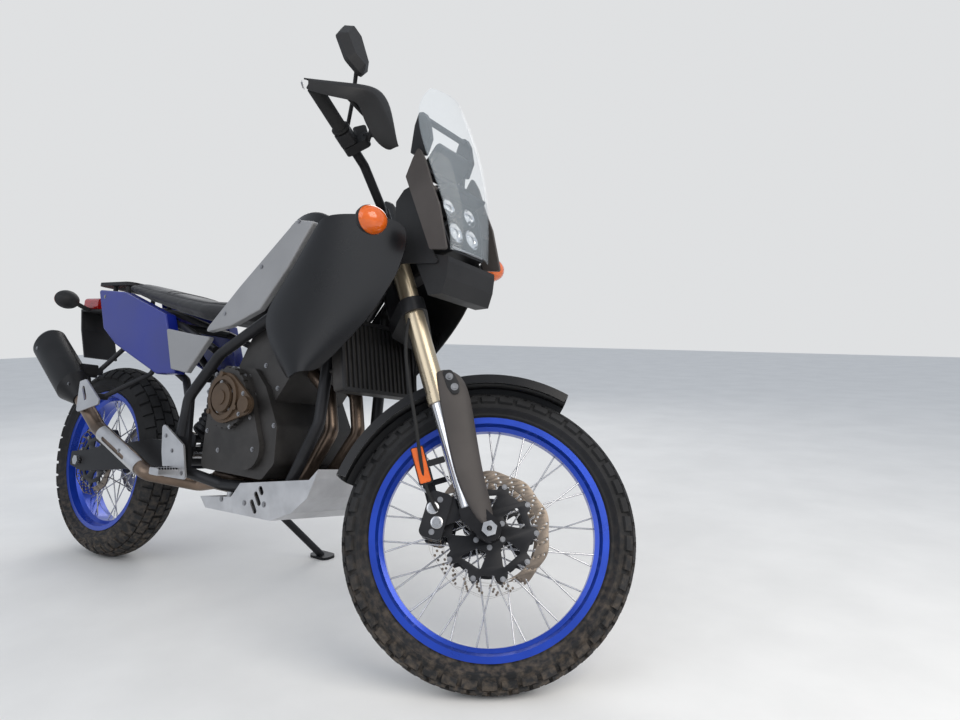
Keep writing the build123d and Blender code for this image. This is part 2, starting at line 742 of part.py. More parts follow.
with BuildPart() as side_stand:
    with BuildSketch(Plane(origin=stand_start - stand_axis * eye_thickness / 2, x_dir=stand_down,
                           z_dir=stand_axis)):
        with BuildLine():
            CenterArc((0, 0), eye_radius, 0, 360)
            CenterArc((eye_radius * 2, 0), stand_leg_diameter / 2, 0, 360)
        make_hull()
    extrude(amount=eye_thickness)
    add(rod(stand_start + stand_down * eye_radius * 1.7, stand_foot + stand_down * 4, stand_leg_diameter))
    with BuildSketch(Plane(upright)):
        with Locations((stand_foot_x, stand_foot_y + 6)):
            RectangleRounded(86, 58, 22)
    extrude(amount=stand_foot_thickness)
    with BuildSketch(Plane(origin=stand_start - stand_axis * eye_thickness, z_dir=stand_axis)):
        Circle(stand_bolt / 2 + bearing_gap)
    extrude(amount=2 * eye_thickness, mode=Mode.SUBTRACT)
    split(bisect_by=Plane(upright), keep=Keep.TOP)
keep(side_stand.part, "side_stand", "side_stand")

# Swingarm, chain and rear axle
axle_z = rear_radius
arm_outline = [(rear_axle_x - 52, 312), (rear_axle_x - 52, 358), (rear_axle_x + 40, 372), (420, 448), (565, 452),
               (598, 428), (598, 400), (565, 378), (380, 352), (rear_axle_x + 30, 300)]
axle_end = arm_inner_y + arm_width
with BuildPart() as swingarm:
    with BuildSketch(Plane.XZ.offset(arm_inner_y)) as face:
        with BuildLine():
            Polyline(*arm_outline, close=True)
        make_face()
        fillet(face.vertices(), 8)
    extrude(amount=arm_width)
    with BuildSketch(Plane.XZ.offset(arm_inner_y)):
        with Locations((rear_axle_x, axle_z)):
            SlotOverall(axle_diameter + 26, axle_diameter + 2 * bearing_gap)
        with Locations((swing_pivot_x, swing_pivot_z)):
            Circle(11)
    extrude(amount=arm_width, mode=Mode.SUBTRACT)
    mirror(about=Plane.XZ)
    with BuildSketch(Plane.XZ.offset(-arm_inner_y)):
        with Locations((448, 402)):
            RectangleRounded(60, 62, 14)
    extrude(amount=2 * arm_inner_y)
    add(clevis(shock_low, (460, 424), shock_eye + 1, cheek, shock_bolt))
keep(swingarm.part, "swingarm")

with BuildPart() as rear_axle:
    with BuildSketch(Plane.XZ.offset(-axle_end - 12)):
        with Locations((rear_axle_x, axle_z)):
            Circle(axle_diameter / 2)
    extrude(amount=2 * axle_end + 24)
    for side in (-1, 1):
        start = axle_end + seat_gap
        with BuildSketch(Plane.XZ.offset(start if side > 0 else -start - 12)):
            with Locations((rear_axle_x, axle_z)):
                RegularPolygon(17, 6)
        extrude(amount=12)
keep(rear_axle.part, "rear_axle")

with BuildPart() as pivot_bolt:
    bolt_end = plate_inner_y + plate_thickness + 6
    with BuildSketch(Plane.XZ.offset(-bolt_end)):
        with Locations((swing_pivot_x, swing_pivot_z)):
            Circle(10)
    extrude(amount=2 * bolt_end)
keep(pivot_bolt.part, "swingarm_bolt")


def chain_loop(grow):
    """Belt outline round the two sprockets, wider than the pitch line by grow."""
    with BuildSketch(Plane.XZ.offset(-chain_y - chain_width / 2)) as loop:
        with BuildLine():
            CenterArc((rear_axle_x, axle_z), chain_pitch_radius_rear + grow, 0, 360)
            CenterArc((front_sprocket_x, front_sprocket_z), chain_pitch_radius_front + grow, 0, 360)
        make_hull()
    return loop.sketch


chain_line = chain_loop(0).faces()[0].outer_wire()
with BuildPart() as chain:
    with BuildSketch(Plane.XZ.offset(-chain_y - chain_width / 2)) as links:
        for step in range(chain_links):
            here = chain_line.position_at(step / chain_links)
            ahead = chain_line.tangent_at(step / chain_links)
            with Locations(Location((here.X, here.Z, 0), degrees(atan2(ahead.Z, ahead.X)))):
                SlotOverall(chain_pitch + 2 * chain_half_height - 2, 2 * chain_half_height)
    extrude(amount=chain_width)
    extrude(chain_loop(chain_half_height - 3), amount=chain_width)
    extrude(chain_loop(3 - chain_half_height), amount=chain_width, mode=Mode.SUBTRACT)
keep(chain.part, "chain")

shock_axis = Vector(shock_high[0] - shock_low[0], 0, shock_high[1] - shock_low[1])
shock_plane = Plane(origin=(shock_low[0], 0, shock_low[1]), x_dir=(0, 1, 0), z_dir=shock_axis)
coil_count = 7
coil_pitch = 18.0
coil_start = 38.0
with BuildPart() as rear_shock:
    for x, z in (shock_low, shock_high):
        with BuildSketch(Plane.XZ.offset(-shock_eye / 2)):
            with Locations((x, z)):
                Circle(shock_bolt + 2)
        extrude(amount=shock_eye)
    with BuildSketch(shock_plane):
        Circle(13)
    extrude(amount=shock_axis.length)
    for along in (coil_start - 8, coil_start + coil_count * coil_pitch):
        with BuildSketch(shock_plane.offset(along)):
            Circle(36)
        extrude(amount=8)
    for step in range(coil_count):
        for start, narrowing in ((0, -35), (coil_pitch / 2, 35)):
            with BuildSketch(shock_plane.offset(coil_start + step * coil_pitch + start)):
                Circle(27 if start == 0 else 27 + coil_pitch / 2 * tan(radians(35)))
            extrude(amount=coil_pitch / 2, taper=narrowing)
    for x, z in (shock_low, shock_high):
        with BuildSketch(Plane.XZ.offset(-shock_eye)):
            with Locations((x, z)):
                Circle(shock_bolt / 2 + seat_gap)
        extrude(amount=2 * shock_eye, mode=Mode.SUBTRACT)
keep(rear_shock.part, "rear_shock")

# Engine
case_half = 140.0
front_sprocket_tip = chain_pitch_radius_front - chain_half_height - seat_gap
crankcase_outline = [(690, 392), (960, 392), (1004, 440), (998, 540), (934, 640), (880, 688), (750, 692),
                     (690, 620)]
cylinder_outline = [(735, 600), (925, 560), (1052, 742), (1030, 806), (905, 858), (858, 838)]
with BuildPart() as engine:
    with BuildSketch(Plane.XZ.offset(-case_half)) as face:
        with BuildLine():
            Polyline(*crankcase_outline, close=True)
        make_face()
        fillet(face.vertices(), 22)
    extrude(amount=2 * case_half)
    with BuildSketch(Plane.XZ.offset(-case_half + 18)) as face:
        with BuildLine():
            Polyline(*cylinder_outline, close=True)
        make_face()
        fillet(face.vertices(), 14)
    extrude(amount=2 * case_half - 36)
    with BuildSketch(Plane.XZ.offset(-70)) as face:
        with BuildLine():
            Polyline((605, 400), (760, 392), (760, 620), (640, 590), close=True)
        make_face()
        fillet(face.vertices(), 14)
    extrude(amount=140)
    for start, width, radius in ((-chain_y - 4, chain_y + 4 - 60, 16), (-chain_y - 4, 8, front_sprocket_tip)):
        with BuildSketch(Plane.XZ.offset(start)):
            with Locations((front_sprocket_x, front_sprocket_z)):
                Circle(radius)
        extrude(amount=width)
keep(engine.part, "engine")

clutch_centre = (808.0, 600.0)
clutch_radius = 86.0
cap_radius = 70.0
housing_depth = 30.0
rib_count = 20
pump_centre = (905.0, 588.0)
with BuildPart() as engine_covers:
    with BuildSketch(Plane.XZ.offset(case_half + seat_gap)):
        with BuildLine():
            CenterArc(clutch_centre, clutch_radius, 0, 360)
            CenterArc((900, 470), 58, 0, 360)
        make_hull()
    extrude(amount=housing_depth - 14)
    with BuildSketch(Plane.XZ.offset(case_half + seat_gap)):
        with Locations(clutch_centre):
            Circle(clutch_radius)
            with PolarLocations(clutch_radius, rib_count):
                Rectangle(6, 9, mode=Mode.SUBTRACT)
    extrude(amount=housing_depth)
    with BuildSketch(Plane.XZ.offset(-case_half - seat_gap - 38)):
        with Locations((860, 480)):
            Circle(88)
    extrude(amount=38)
    with BuildSketch(Plane.XZ.offset(-case_half - seat_gap - 12)):
        with BuildLine():
            Polyline((644, 412), (730, 412), (730, 560), (668, 560), (644, 500), close=True)
        make_face()
    extrude(amount=12)
keep(engine_covers.part, "engine_covers")

cap_face = case_half + seat_gap + housing_depth
with BuildPart() as clutch_cap:
    with BuildSketch(Plane.XZ.offset(cap_face + seat_gap)):
        with BuildLine():
            CenterArc(clutch_centre, cap_radius, 0, 360)
            CenterArc(pump_centre, 27, 0, 360)
        make_hull()
    extrude(amount=8)
    for start, radius, depth in ((8, 62, 6), (14, 40, 4), (18, 20, 3)):
        with BuildSketch(Plane.XZ.offset(cap_face + seat_gap + start)):
            with Locations(clutch_centre):
                Circle(radius)
                if depth == 6:
                    Circle(50, mode=Mode.SUBTRACT)
        extrude(amount=depth)
    with BuildSketch(Plane.XZ.offset(cap_face + seat_gap + 8)):
        with Locations(clutch_centre):
            Circle(42)
    extrude(amount=6)
    with BuildSketch(Plane.XZ.offset(cap_face + seat_gap + 8)):
        with Locations(pump_centre):
            Circle(22)
        with Locations(clutch_centre):
            with PolarLocations(cap_radius - 4, 3, start_angle=100):
                Circle(7)
    extrude(amount=9)
keep(clutch_cap.part, "clutch_cap")

# Exhaust
header_diameter = 38.0
header_y = 52.0
link_diameter = 46.0
can_start = Vector(84, -198, 544)
can_end = Vector(-186, -206, 728)
can_run = (can_end - can_start).normalized()
can_length = (can_end - can_start).length
can_plane = Plane(origin=can_start, x_dir=(0, 1, 0), z_dir=can_run)
link_rear = can_start - can_run * 150
link_front = Vector(500, -186, 352)
with BuildPart() as exhaust_headers:
    for side in (-1, 1):
        add(bent_tube([(1017.2, side * header_y, 690.8), (1085, side * header_y, 643.3), (1112, side * 50, 540),
                       (1012, side * 44, 384), (890, side * 36, 346), (770, side * 30, 350)], 32, header_diameter))
    with BuildSketch(Plane.YZ.offset(640)):
        with Locations((0, 350)):
            RectangleRounded(130, 60, 24)
    extrude(amount=150)
    add(bent_tube([(660, -40, 350), (580, -58, 330), link_front, link_rear, can_start - can_run * seat_gap], 30,
                  link_diameter))
keep(exhaust_headers.part, "exhaust_headers")

with BuildPart() as muffler:
    can_sections = [
        # along, width, height
        (0, 54, 54), (72, 104, 124), (can_length - 16, 104, 124), (can_length, 84, 104),
    ]
    for along, width, height in can_sections:
        with BuildSketch(can_plane.offset(along)):
            Ellipse(width / 2, height / 2)
    loft(ruled=True)
    with BuildSketch(Plane.XZ.offset(muffler_stay_face + seat_gap)):
        with Locations((muffler_stay[0], muffler_stay[2])):
            RectangleRounded(36, 44, 10)
    extrude(amount=46)
    with BuildSketch(can_plane.offset(can_length)):
        Circle(24)
    extrude(amount=-40, mode=Mode.SUBTRACT)
keep(muffler.part, "muffler")

shield_wall = 3.0
link_run = (link_rear - link_front).normalized()
link_plane = Plane(origin=link_front, x_dir=(0, -1, 0), z_dir=link_run)
link_slope = degrees(atan2(link_run.Z, link_run.X))
shield_start = 36.0
shield_length = 236.0
step_plate = [(124, 507), (122, 602), (158, 611), (255, 552), (253, 536), (137, 504)]
with BuildPart() as heat_shields:
    with BuildSketch(link_plane.offset(shield_start)):
        Circle(link_diameter / 2 + seat_gap + shield_wall)
        Circle(link_diameter / 2 + seat_gap, mode=Mode.SUBTRACT)
        with Locations((link_diameter, 0)):
            Rectangle(link_diameter * 1.8, link_diameter * 2, mode=Mode.INTERSECT)
    extrude(amount=shield_length)
    slot_middle = link_front + link_run * (shield_start + shield_length * 0.55)
    with BuildSketch(Plane.XZ.offset(-slot_middle.Y)):
        with Locations(Location((slot_middle.X, slot_middle.Z, 0), link_slope)):
            SlotOverall(shield_length * 0.6, 13)
    extrude(amount=60, mode=Mode.SUBTRACT)
    with BuildSketch(Plane.XZ.offset(step_plate_y)) as face:
        with BuildLine():
            Polyline(*step_plate, close=True)
        make_face()
        fillet(face.vertices(), 5)
        with Locations(Location((160, 566, 0), -58)):
            SlotOverall(52, 16, mode=Mode.SUBTRACT)
    extrude(amount=5)
keep(heat_shields.part, "heat_shields")

# Cooling
radiator_width = 280.0
radiator_height = 190.0
radiator_depth = 34.0
radiator_plane = Plane(origin=(1172, 0, 735), x_dir=(0, 1, 0), z_dir=(0.97, 0, 0.24))
guard_thickness = 6.0
with BuildPart() as radiator:
    with BuildSketch(radiator_plane):
        RectangleRounded(radiator_width, radiator_height, 10)
    extrude(amount=radiator_depth)
    for height in (-42, 48):
        for side in (-1, 1):
            back = radiator_plane.from_local_coords((side * (cradle_y - 6), height, radiator_depth / 2))
            front = Vector(1122 + tube_diameter / 2 + seat_gap, back.Y, back.Z)
            add(rod(back, front, 16))
keep(radiator.part, "radiator")

with BuildPart() as radiator_guard:
    with BuildSketch(radiator_plane.offset(radiator_depth + seat_gap)):
        RectangleRounded(radiator_width + 4, radiator_height + 4, 10)
        with GridLocations(17, 0, 16, 1):
            Rectangle(11, radiator_height - 16, mode=Mode.SUBTRACT)
    extrude(amount=guard_thickness)
keep(radiator_guard.part, "radiator_guard")

# Tank, seat and bodywork
tank_sections = [
    # x, bottom z, middle z, top z, bottom half width, middle half width, top half width
    (1100, 905, 960, 1010, 90, 118, 60),
    (1030, 900, 1010, 1128, 130, 160, 78),
    (930, 890, 1000, 1140, 132, 162, 84),
    (820, 885, 960, 1050, 110, 142, 66),
    (745, 878, 905, 950, 80, 104, 50),
]
cap_x = 965.0
cap_seat = 1128.0
cap_diameter = 68.0
cap_height = 16.0
cap_hinge = (cap_x + cap_diameter / 2 + 6.0, 0.0, cap_seat + 20.0)
hinge_pin = 5.0
hinge_eye = 11.0
hinge_post = 8.0
ear_width = 6.0
pin_half = hinge_post / 2 + 1 + ear_width
hinge_room = 3.0
with BuildPart() as fuel_tank:
    add(lofted(tank_sections, 18))
    spine = bent_tube(frame_routes[0][0], frame_routes[0][1], tube_diameter + 6)
    add(spine, mode=Mode.SUBTRACT)
    add(spine.mirror(Plane.XZ), mode=Mode.SUBTRACT)
    add(rod((1005, -142, 877), (1005, 142, 877), rail_diameter + 6), mode=Mode.SUBTRACT)
    with BuildSketch(Plane.XY.offset(cap_seat)):
        with Locations((cap_x, 0)):
            Circle(cap_diameter / 2 + 2)
    extrude(amount=40, mode=Mode.SUBTRACT)
    with BuildSketch(Plane.XY.offset(cap_hinge[2] - hinge_eye / 2 - hinge_room)):
        with Locations(((cap_x + cap_hinge[0] + hinge_eye) / 2, 0)):
            Rectangle(cap_hinge[0] + hinge_eye - cap_x, 2 * (pin_half + hinge_room))
    extrude(amount=40, mode=Mode.SUBTRACT)
    with BuildSketch(Plane.XZ.offset(-hinge_post / 2)):
        with BuildLine():
            CenterArc((cap_hinge[0], cap_hinge[2]), hinge_eye / 2, 0, 360)
            Polyline((cap_hinge[0] + 2, cap_seat - 4), (cap_hinge[0] + 22, cap_seat - 4),
                     (cap_hinge[0] + 12, cap_seat), close=True)
        make_hull()
    extrude(amount=hinge_post)
    add(rod((cap_hinge[0], -pin_half, cap_hinge[2]), (cap_hinge[0], pin_half, cap_hinge[2]), hinge_pin))
keep(fuel_tank.part, "fuel_tank")

with BuildPart() as fuel_cap:
    with BuildSketch(Plane.XY.offset(cap_seat + seat_gap)):
        with Locations((cap_x, 0)):
            Circle(cap_diameter / 2)
    extrude(amount=cap_height)
    with BuildSketch(Plane.XZ.offset(hinge_post / 2 + 1)):
        with BuildLine():
            CenterArc((cap_hinge[0], cap_hinge[2]), hinge_eye / 2, 0, 360)
            CenterArc((cap_hinge[0] - 18, cap_seat + cap_height - 2), 3, 0, 360)
        make_hull()
        with Locations((cap_hinge[0], cap_hinge[2])):
            Circle(hinge_pin / 2 + bearing_gap, mode=Mode.SUBTRACT)
    extrude(amount=ear_width)
    mirror(about=Plane.XZ)
keep(fuel_cap.part, "fuel_cap", "fuel_cap")

tank_panel_outline = [(1020, 1088), (1092, 1080), (1010, 958), (916, 846), (800, 800), (686, 780),
                      (700, 800), (818, 912)]
keep(side_tray(tank_panel_outline, 162.3, 182.3, 6, 5), "tank_panels")

shroud_outline = [(1124, 1092), (1394, 1078), (1372, 985), (1312, 894), (1246, 806), (1166, 722), (1082, 650),
                  (1000, 736), (956, 842), (1040, 968)]
keep(side_tray(shroud_outline, 182.6, 204.6, 12, 8, [(1172, 785, radiator_width / 2)]), "shrouds")

side_cover_outline = [(462, 792), (606, 776), (690, 770), (596, 660), (514, 668)]
keep(side_tray(side_cover_outline, 148, 166, 6, 5, [(560, 768, 119.6)]), "side_covers")

tail_panel_outline = [(-29, 928), (136, 918), (400, 842), (488, 672), (500, 657), (392, 650), (128, 737),
                      (37, 790)]
keep(side_tray(tail_panel_outline, 100, 138, 8, 6, [(60, 880, 92.0), (330, 838, 96.4)]), "tail_panels")

seat_sections = [
    # x, bottom z, middle z, top z, bottom half width, middle half width, top half width
    (112, 932, 944, 958, 96, 116, 100),
    (330, 878, 900, 924, 100, 122, 104),
    (548, 836, 864, 892, 96, 124, 100),
    (700, 842, 866, 892, 80, 104, 80),
    (742, 872, 890, 912, 60, 84, 56),
]
keep(lofted(seat_sections, 5), "seat")

carrier_face = (-20.0, 75.0, 964.0)
with BuildPart() as tail_carrier:
    with BuildSketch(Plane.XY.offset(952)):
        with Locations((-20, 0)):
            RectangleRounded(220, 190, 30)
        with Locations((-20, 0)):
            RectangleRounded(150, 110, 20, mode=Mode.SUBTRACT)
    extrude(amount=12)
    for x, y, foot in ((-40, 73, 909.4), (60, 80, 899.2)):
        for side in (-1, 1):
            add(rod((x, side * y, foot), (x, side * y, 953), 16))
keep(tail_carrier.part, "tail_carrier")

with BuildPart() as rear_fender:
    with BuildSketch(Plane.XZ.offset(-62)) as face:
        with BuildLine():
            Polyline((60, 846), (-100, 872), (-290, 872), (-268, 793), (-218, 690), (-212, 693), (-260, 795),
                     (-280, 864), (-100, 864), (60, 838), close=True)
        make_face()
    extrude(amount=124)
    for side in (-1, 1):
        add(rod((-60, side * 40, 861), (-60, side * 40, 898 - rail_diameter / 2 - seat_gap), 16))
keep(rear_fender.part, "rear_fender")

with BuildPart() as tail_lamp:
    with BuildSketch(Plane.YZ.offset(-276)) as face:
        with Locations((0, 872 + seat_gap + 22)):
            RectangleRounded(120, 44, 14)
    extrude(amount=100)
keep(tail_lamp.part, "tail_lamp")

indicator_places = [
    # lens middle x, y, z, then where its stem starts
    (1366, 252, 1042, 1366, 204.9, 1042),
    (-222, 150, 892, -222, 64.8, 868),
]
with BuildPart() as indicators:
    for x, y, z, stem_x, stem_y, stem_z in indicator_places:
        for side in (-1, 1):
            with BuildSketch(Plane.XY.offset(z)) as lens:
                with Locations((x, side * y)):
                    Ellipse(33, 44)
                with Locations((x - 40, side * y)):
                    Rectangle(80, 100, mode=Mode.SUBTRACT)
            revolve(axis=Axis((x, side * y, z), (0, 1, 0)))
            add(rod((stem_x, side * stem_y, stem_z), (x, side * (y - 20), z), 14))
keep(indicators.part, "indicators")

# Front tower
lamp_plane = Plane(origin=(1436, 0, 1090), x_dir=(0, 1, 0), z_dir=(0.94, 0, 0.34))
lamp_outline = [(-94, 80), (94, 80), (90, 0), (70, -82), (-70, -82), (-90, 0)]
strut_y = 112.0
strut_thickness = 8.0
with BuildPart() as headlamp:
    with BuildSketch(lamp_plane) as face:
        with BuildLine():
            Polyline(*lamp_outline, close=True)
        make_face()
        fillet(face.vertices(), 12)
    extrude(amount=-56)
    with BuildSketch(lamp_plane) as face:
        with BuildLine():
            Polyline(*lamp_outline, close=True)
        make_face()
        fillet(face.vertices(), 12)
        offset(amount=-6, mode=Mode.REPLACE)
    extrude(amount=-26, mode=Mode.SUBTRACT)
    for y, height, radius in ((-44, 40, 25), (44, 40, 25), (-34, -26, 27), (34, -26, 27)):
        with BuildSketch(lamp_plane.offset(-27)):
            with Locations((y, height)):
                Circle(radius)
        extrude(amount=17, taper=8)
    with BuildSketch(Plane.XZ.offset(-78)):
        with BuildLine():
            Polyline((1372, 1176), (1444, 1180), (1442, 1172), (1404, 1158), (1360, 1150), close=True)
        make_face()
    extrude(amount=156)
    for side in (-1, 1):
        add(rod((1418, side * 60, 1060), (1418, side * (strut_y - seat_gap), 1060), 16))
keep(headlamp.part, "headlamp")

strut_outline = [(1366, 1266), (1351, 1237), (1335, 1193), (1437, 1004), (1488, 1001), (1450, 1113), (1421, 1166),
                 (1390, 1232)]
with BuildPart() as fairing_struts:
    add(side_plate(strut_outline, strut_y, strut_y + strut_thickness, 6))
    for x, z, reach in ((1439.2, 1090, 90.8), (1420.4, 1160, 100)):
        for side in (-1, 1):
            add(rod((x, side * reach, z), (x, side * (strut_y + 2), z), 10))
keep(fairing_struts.part, "fairing_struts")

tower_tube = 16.0
accessory_bar_middle = (1348.0, 0.0, 1354.0)
accessory_bar_middle_half = 90.0 - tower_tube / 2
tower_head = [(1322, 1262), (1326, 1335), (1336, 1368), (1352, 1366), (1366, 1345), (1380, 1297), (1368, 1256)]
with BuildPart() as instrument_tower:
    with BuildSketch(Plane(on_head(34, 0, 1060), x_dir=(0, 1, 0), z_dir=on_head(1, 0, 0) - on_head(0, 0, 0))):
        RectangleRounded(60, 70, 10)
    extrude(amount=100)
    for side in (-1, 1):
        add(bent_tube([(1352, side * 60, 1010), (1340, side * 88, 1130), (1352, side * 90, 1225),
                       (1348, side * 90, 1300)], 30, tower_tube))
    add(side_plate(tower_head, 82, 98, 5))
    for x, y, z in ((accessory_bar_middle[0], 90, accessory_bar_middle[2]), (1354, strut_y - seat_gap, 1225),
                    (1352, 66, 1010)):
        add(rod((x, -y, z), (x, y, z), tower_tube))
    with BuildSketch(Plane(origin=(1372, 0, 1246), x_dir=(0, 1, 0), z_dir=(-0.8, 0, 0.6))):
        RectangleRounded(124, 92, 12)
    extrude(amount=26)
keep(instrument_tower.part, "instrument_tower")

fairing_side = [(1307, 1033), (1299, 1136), (1321, 1165), (1340, 1172), (1436, 1001), (1460, 972), (1322, 977),
                (1312, 979)]
with BuildPart() as headlamp_cowl:
    with BuildSketch(Plane.XZ.offset(-100)) as face:
        with BuildLine():
            Polyline((1388, 1004), (1480, 990), (1486, 958), (1472, 900), (1432, 896), (1384, 975), close=True)
        make_face()
    extrude(amount=200)
    chamfer(headlamp_cowl.edges().filter_by(Axis.Z, 25).group_by(Axis.X)[-1], 20)
    with BuildSketch(Plane.XZ.offset(-94)) as face:
        with BuildLine():
            Polyline((1370, 1030), (1470, 1030), (1464, 984), (1430, 903), (1380, 960), close=True)
        make_face()
    extrude(amount=188, mode=Mode.SUBTRACT)
    add(side_plate(fairing_side, 100, 105, 6))
keep(headlamp_cowl.part, "headlamp_cowl")

screen_sections = [
    # height, x at the middle, half width, sweep of the edges backwards
    (1012, 1496, 80, 24), (1180, 1472, 108, 45), (1350, 1406, 120, 48), (1448, 1356, 62, 18),
]
screen_wall = 4.0
with BuildPart() as windscreen:
    for height, x_front, half, sweep_back in screen_sections:
        with BuildSketch(Plane.XY.offset(height)):
            with BuildLine():
                front = ThreePointArc((x_front - sweep_back, -half), (x_front, 0), (x_front - sweep_back, half))
                Line(front @ 1, (x_front - sweep_back - screen_wall, half))
                back = ThreePointArc((x_front - sweep_back - screen_wall, half), (x_front - screen_wall, 0),
                                     (x_front - sweep_back - screen_wall, -half))
                Line(back @ 1, front @ 0)
            make_face()
    loft(ruled=False)
keep(windscreen.part, "windscreen")

# Belly and feet
skid_outline = [(702, 312), (732, 284), (1012, 292), (1088, 324), (1140, 370), (1160, 420), (1168, 446), (1140, 416),
                (872, 372), (840, 330)]
with BuildPart() as skid_plate:
    with BuildSketch(Plane.XZ.offset(-136)) as face:
        with BuildLine():
            Polyline(*skid_outline, close=True)
        make_face()
    extrude(amount=272)
    with BuildSketch(Plane.XZ.offset(-132)) as face:
        with BuildLine():
            Polyline((690, 330), (700, 318), (734, 288), (1011, 296), (1086, 328), (1137, 373), (1156, 421),
                     (1150, 500), (690, 500), close=True)
        make_face()
    extrude(amount=264, mode=Mode.SUBTRACT)
    for x, top in ((800, 337.9), (980, 351.2)):
        for side in (-1, 1):
            add(rod((x, side * cradle_y, 292), (x, side * cradle_y, top), 20))
    with BuildSketch(Plane.XZ.offset(-140)):
        for x, z, length in ((962, 364, 26), (951, 341, 42), (938, 318, 42)):
            with Locations(Location((x, z, 0), 128)):
                SlotOverall(length, 15)
    extrude(amount=280, mode=Mode.SUBTRACT)
keep(skid_plate.part, "skid_plate")

with BuildPart() as footrests:
    add(side_plate([(532, 508), (650, 452), (682, 356), (572, 352), (548, 420)], 172, 178, 10))
    for side in (-1, 1):
        with BuildSketch(Plane.XZ.offset(178 if side > 0 else -238)):
            with Locations((618, 372)):
                RectangleRounded(46, 20, 5)
        extrude(amount=60)
keep(footrests.part, "footrests")

with BuildPart() as rear_caliper:
    with BuildSketch(Plane.XZ.offset(rear_disc_y - 20)) as face:
        with Locations(Location((rear_axle_x + 96, 402, 0), -50)):
            RectangleRounded(88, 52, 12)
    extrude(amount=40)
    with BuildSketch(Plane.XZ.offset(rear_disc_y - disc_thickness / 2 - caliper_gap)):
        with Locations((rear_axle_x, axle_z)):
            Circle(rear_disc_diameter / 2 + 6)
    extrude(amount=disc_thickness + 2 * caliper_gap, mode=Mode.SUBTRACT)
keep(rear_caliper.part, "rear_caliper")

# Park the machine and write one file for each piece
body_at = {
    "chassis": stance,
    "side_stand": stance,
    "fuel_cap": stance,
    "steering": stance * steered_at,
    "front_wheel": stance * front_wheel_at,
    "rear_wheel": stance * rear_wheel_at,
}
parked = {label: (body, part.moved(body_at[body])) for label, (body, part) in pieces.items()}
boxes = [part.bounding_box() for _, part in parked.values()]
middle_x = (min(b.min.X for b in boxes) + max(b.max.X for b in boxes)) / 2
middle_y = (min(b.min.Y for b in boxes) + max(b.max.Y for b in boxes)) / 2
to_middle = Location((-middle_x, -middle_y, 0))
for label, (body, part) in parked.items():
    placed = part.moved(to_middle)
    placed.label = label
    export_step(placed, f"parts/{label}.step")
print("nodes", len(parked), "pitch", round(pitch, 4), "middle", round(middle_x, 2), round(middle_y, 2))
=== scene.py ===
"""Adventure motorcycle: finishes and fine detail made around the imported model.

Small parts are drawn in millimetres in the same frames as the machine itself: the upright chassis with X
forwards from the rear axle, the fork with Z along the steering axis, and each wheel about its own axle.
"""
import json
from math import atan2, cos, hypot, pi, radians, sin, sqrt, tau

import bmesh
import bpy
from bpy.props import FloatProperty, FloatVectorProperty, IntProperty, PointerProperty
from mathutils import Matrix, Vector
from mathutils.bvhtree import BVHTree


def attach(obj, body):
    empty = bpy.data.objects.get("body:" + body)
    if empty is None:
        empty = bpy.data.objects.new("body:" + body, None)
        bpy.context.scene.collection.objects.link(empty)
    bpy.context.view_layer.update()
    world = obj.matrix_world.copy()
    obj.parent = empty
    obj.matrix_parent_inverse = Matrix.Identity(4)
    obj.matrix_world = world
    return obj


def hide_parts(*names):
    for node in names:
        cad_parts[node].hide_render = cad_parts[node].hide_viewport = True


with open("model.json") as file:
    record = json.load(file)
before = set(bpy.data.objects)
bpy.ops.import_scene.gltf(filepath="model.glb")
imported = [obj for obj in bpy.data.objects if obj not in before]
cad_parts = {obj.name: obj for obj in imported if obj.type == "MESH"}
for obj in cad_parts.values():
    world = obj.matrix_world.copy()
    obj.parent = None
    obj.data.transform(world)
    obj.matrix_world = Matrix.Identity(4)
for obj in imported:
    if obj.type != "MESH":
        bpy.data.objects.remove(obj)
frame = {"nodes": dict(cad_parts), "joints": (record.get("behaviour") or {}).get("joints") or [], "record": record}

bl_info = {
    "name": "Adventure motorcycle",
    "version": (1, 0, 0),
    "blender": (4, 5, 0),
    "location": "View3D > Sidebar > Motorcycle",
    "description": "Finishes, tread, lamps, seat and fittings of a parked adventure motorcycle",
    "category": "Object",
}

# Driving sizes of the machine, in millimetres and degrees, as on the model
WHEELBASE = 1595.0
RAKE = radians(27.0)
TRAIL = 105.0
FRONT_RADIUS = 348.0
REAR_RADIUS = 333.5
FRONT_DISC_RADIUS = 141.0
FRONT_DISC_Y = 66.0
REAR_DISC_RADIUS = 122.5
REAR_DISC_Y = 84.0
# Each tyre: radius over the tread, width, radius of the crown, bead radius, half width at the bead
FRONT_TYRE = (FRONT_RADIUS, 94.0, 50.0, 266.7, 25.0)
REAR_TYRE = (REAR_RADIUS, 150.0, 78.0, 228.6, 51.0)
MM = 0.001

# Frames of the machine, read from its joints


def joint(name):
    """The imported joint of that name."""
    return next(j for j in frame["joints"] if j["name"] == name)


def frame_of(x_axis, y_axis, z_axis, origin):
    """Matrix from millimetres in a local frame to metres in the model's frame."""
    turn = Matrix((x_axis, y_axis, z_axis)).transposed() * MM
    matrix = turn.to_4x4()
    matrix.translation = origin
    return matrix


rear_axis = Vector(joint("rear_wheel_spin")["axis"])
steer_axis = Vector(joint("steering_turn")["axis"])
front_axis = Vector(joint("front_wheel_spin")["axis"])
side_axis = rear_axis.cross(steer_axis)
chassis_x = side_axis * cos(RAKE) - steer_axis * sin(RAKE)
chassis_z = side_axis * sin(RAKE) + steer_axis * cos(RAKE)
rear_centre = Vector(joint("rear_wheel_spin")["pos_m"])
front_centre = Vector(joint("front_wheel_spin")["pos_m"])
chassis_origin = rear_centre - chassis_z * REAR_RADIUS * MM

